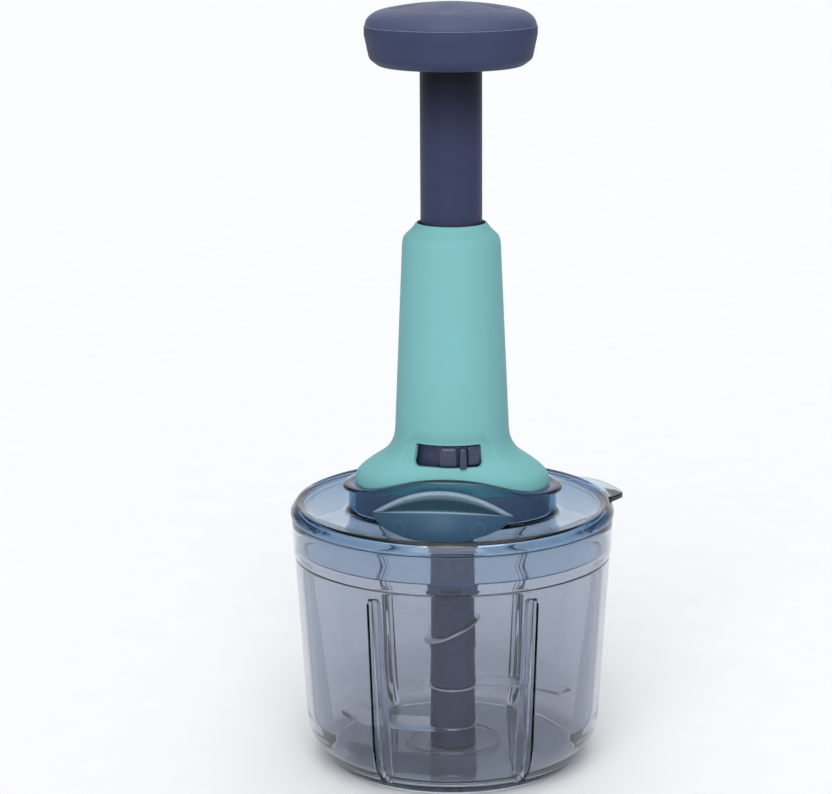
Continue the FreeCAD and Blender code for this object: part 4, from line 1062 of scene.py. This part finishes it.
def makeBlade(name, ringR):
    t = hub["bladeT"]
    flat, ground = bladeLine(0), bladeLine(edge["bevel"])
    count = len(flat)
    piece = prism(name, flat, 0, t)
    for v in piece.data.vertices:
        if v.co.z > t * mm / 2:
            i = min(range(count), key=lambda k: math.dist((v.co.x / mm, v.co.y / mm), flat[k]))
            v.co = Vector((ground[i][0], ground[i][1], t)) * mm
    clearSelection()
    bpy.ops.mesh.primitive_cylinder_add(vertices=96, radius=ringR * mm, depth=t * mm,
                                        location=(0, 0, t * mm / 2))
    disc = bpy.context.object
    bpy.ops.object.transform_apply(location=True, rotation=True, scale=True)
    softEdges(disc, 0.15, 2)
    carve(piece, disc, "UNION")
    clearSelection()
    bpy.ops.mesh.primitive_cylinder_add(vertices=48, radius=hub["coreR"] * mm, depth=8 * mm, location=(0, 0, 0))
    bore = bpy.context.object
    carve(piece, bore)
    tidyMesh(piece, 2e-6)
    smooth(piece, 25)
    return piece


def setBlade(name, node, ringR, bank, turn, z):
    piece = makeBlade(name, ringR)
    if bank:
        turnedBy(piece, bank, "X")
    turnedBy(piece, turn)
    editAll(piece)
    bpy.ops.transform.translate(value=(0, 0, z * mm))
    bpy.ops.object.mode_set(mode="OBJECT")
    dress(piece, "blade_steel", "blade_set", node)


setBlade("lowerBlade", "lower_blade", edge["ring"], 0, hub["lowerTurn"], hub["lowerZ"])
setBlade("middleBlade", "middle_blade", edge["ring"], 0, hub["middleTurn"], hub["middleZ"])
setBlade("upperBlade", "upper_blade", edge["upperRing"], hub["bank"], hub["upperTurn"], hub["upperZ"])


driver = {"r": 10.1, "low": 89.65, "cupR": 17.0, "cupIn": 15.0, "cupLow": 122.9, "cupFloor": 125.2,
          "cupTop": 131.8, "screwR": 1.6, "clawR": 12.0, "clawLow": 83.8, "clawTop": 89.6,
          "toothLow": 78.6, "toothTop": 84.2, "firstTooth": 45}


def makeDriver():
    # shaft with its cup, and the claw end that turns the hub
    d = driver
    outline = rounded([(d["r"], d["low"], 0.4), (d["r"], d["cupLow"], 0), (d["cupR"], d["cupLow"], 0.3),
                       (d["cupR"], d["cupTop"], 0.2), (d["cupIn"], d["cupTop"], 0.2),
                       (d["cupIn"], d["cupFloor"], 0), (d["screwR"], d["cupFloor"], 0),
                       (d["screwR"], d["low"], 0)], 4)
    piece = spun("driverShaft", outline, 128)
    smooth(piece, 34)
    dress(piece, "driver_plastic", "output", "output_shaft")
    r = d["clawR"]
    outline = rounded([(r, d["clawLow"], 0.3), (r, 85.2, 0), (r - 0.25, 85.5, 0), (r, 85.8, 0),
                       (r, d["clawTop"], 0.6), (d["screwR"], d["clawTop"], 0),
                       (d["screwR"], d["clawLow"], 0)], 4)
    piece = spun("driverClaw", outline, 96)
    for k in range(hub["teeth"]):
        turn = d["firstTooth"] + 360 / hub["teeth"] * k
        carve(piece, toothBlock("claw", turn, d["toothLow"], d["toothTop"], r), "UNION")
    tidyMesh(piece, 2e-6)
    smooth(piece, 34)
    dress(piece, "driver_plastic", "output", "drive_dog")


makeDriver()
print("blades ready")


room = {"floor": (0.83, 0.835, 0.84), "bright": (0.97, 0.98, 1.0), "brightTo": 0.25,
        "dim": (0.14, 0.155, 0.19), "dimFrom": 0.78,
        # name, direction, width in degrees, strength
        "suns": (("keySun", (0.0, 0.8, -0.6), 50, 1.7), ("topSun", (-0.1, 0.1, -1.0), 60, 0.6))}


def studio():
    clearSelection()
    bpy.ops.mesh.primitive_plane_add(size=60, location=(0, 0, -0.0002))
    floor = bpy.context.object
    floor.name = "floor"
    floor.data.materials.append(plastic("palePaper", room["floor"], rough=0.8, drift=0.01, spec=0.1))
    world = bpy.data.worlds.new("paleRoom")
    bpy.context.scene.world = world
    world.use_nodes = True
    tree = world.node_tree
    # a bright room in front, above and behind, with dim walls left and right
    where = addNode(tree, "TexCoord", {}).outputs["Generated"]
    side = reckon(tree, "ABSOLUTE", axisOf(tree, where, "X"))
    walls = ramp(tree, side, ((room["brightTo"], room["bright"]), (room["dimFrom"], room["dim"])), "EASE")
    connect(tree, tree.nodes["Background"], {"Color": walls, "Strength": 1})
    for name, aim, width, power in room["suns"]:
        lamp = bpy.data.lights.new(name, "SUN")
        lamp.angle = math.radians(width)
        lamp.energy = power
        obj = bpy.data.objects.new(name, lamp)
        bpy.context.scene.collection.objects.link(obj)
        obj.rotation_euler = Vector(aim).to_track_quat("-Z", "Y").to_euler()


camera = {"turn": 4.5, "tilt": 13.04, "roll": -0.19, "distance": 1.097, "height": 0.426, "lens": 106.0,
          "shift": -0.0432}


def cameraAt():
    turn = math.radians(camera["turn"])
    view = bpy.data.cameras.new("mainCamera")
    view.lens = camera["lens"]
    view.shift_x = camera["shift"]
    eye = bpy.data.objects.new("mainCamera", view)
    bpy.context.scene.collection.objects.link(eye)
    away = camera["distance"]
    eye.location = (away * math.sin(turn), -away * math.cos(turn), camera["height"])
    aim = Matrix.Rotation(turn, 3, "Z") @ Matrix.Rotation(math.radians(90 - camera["tilt"]), 3, "X")
    eye.rotation_euler = (aim @ Matrix.Rotation(math.radians(camera["roll"]), 3, "Z")).to_euler()
    bpy.context.scene.camera = eye


studio()
cameraAt()
bpy.context.scene.view_settings.view_transform = "Standard"
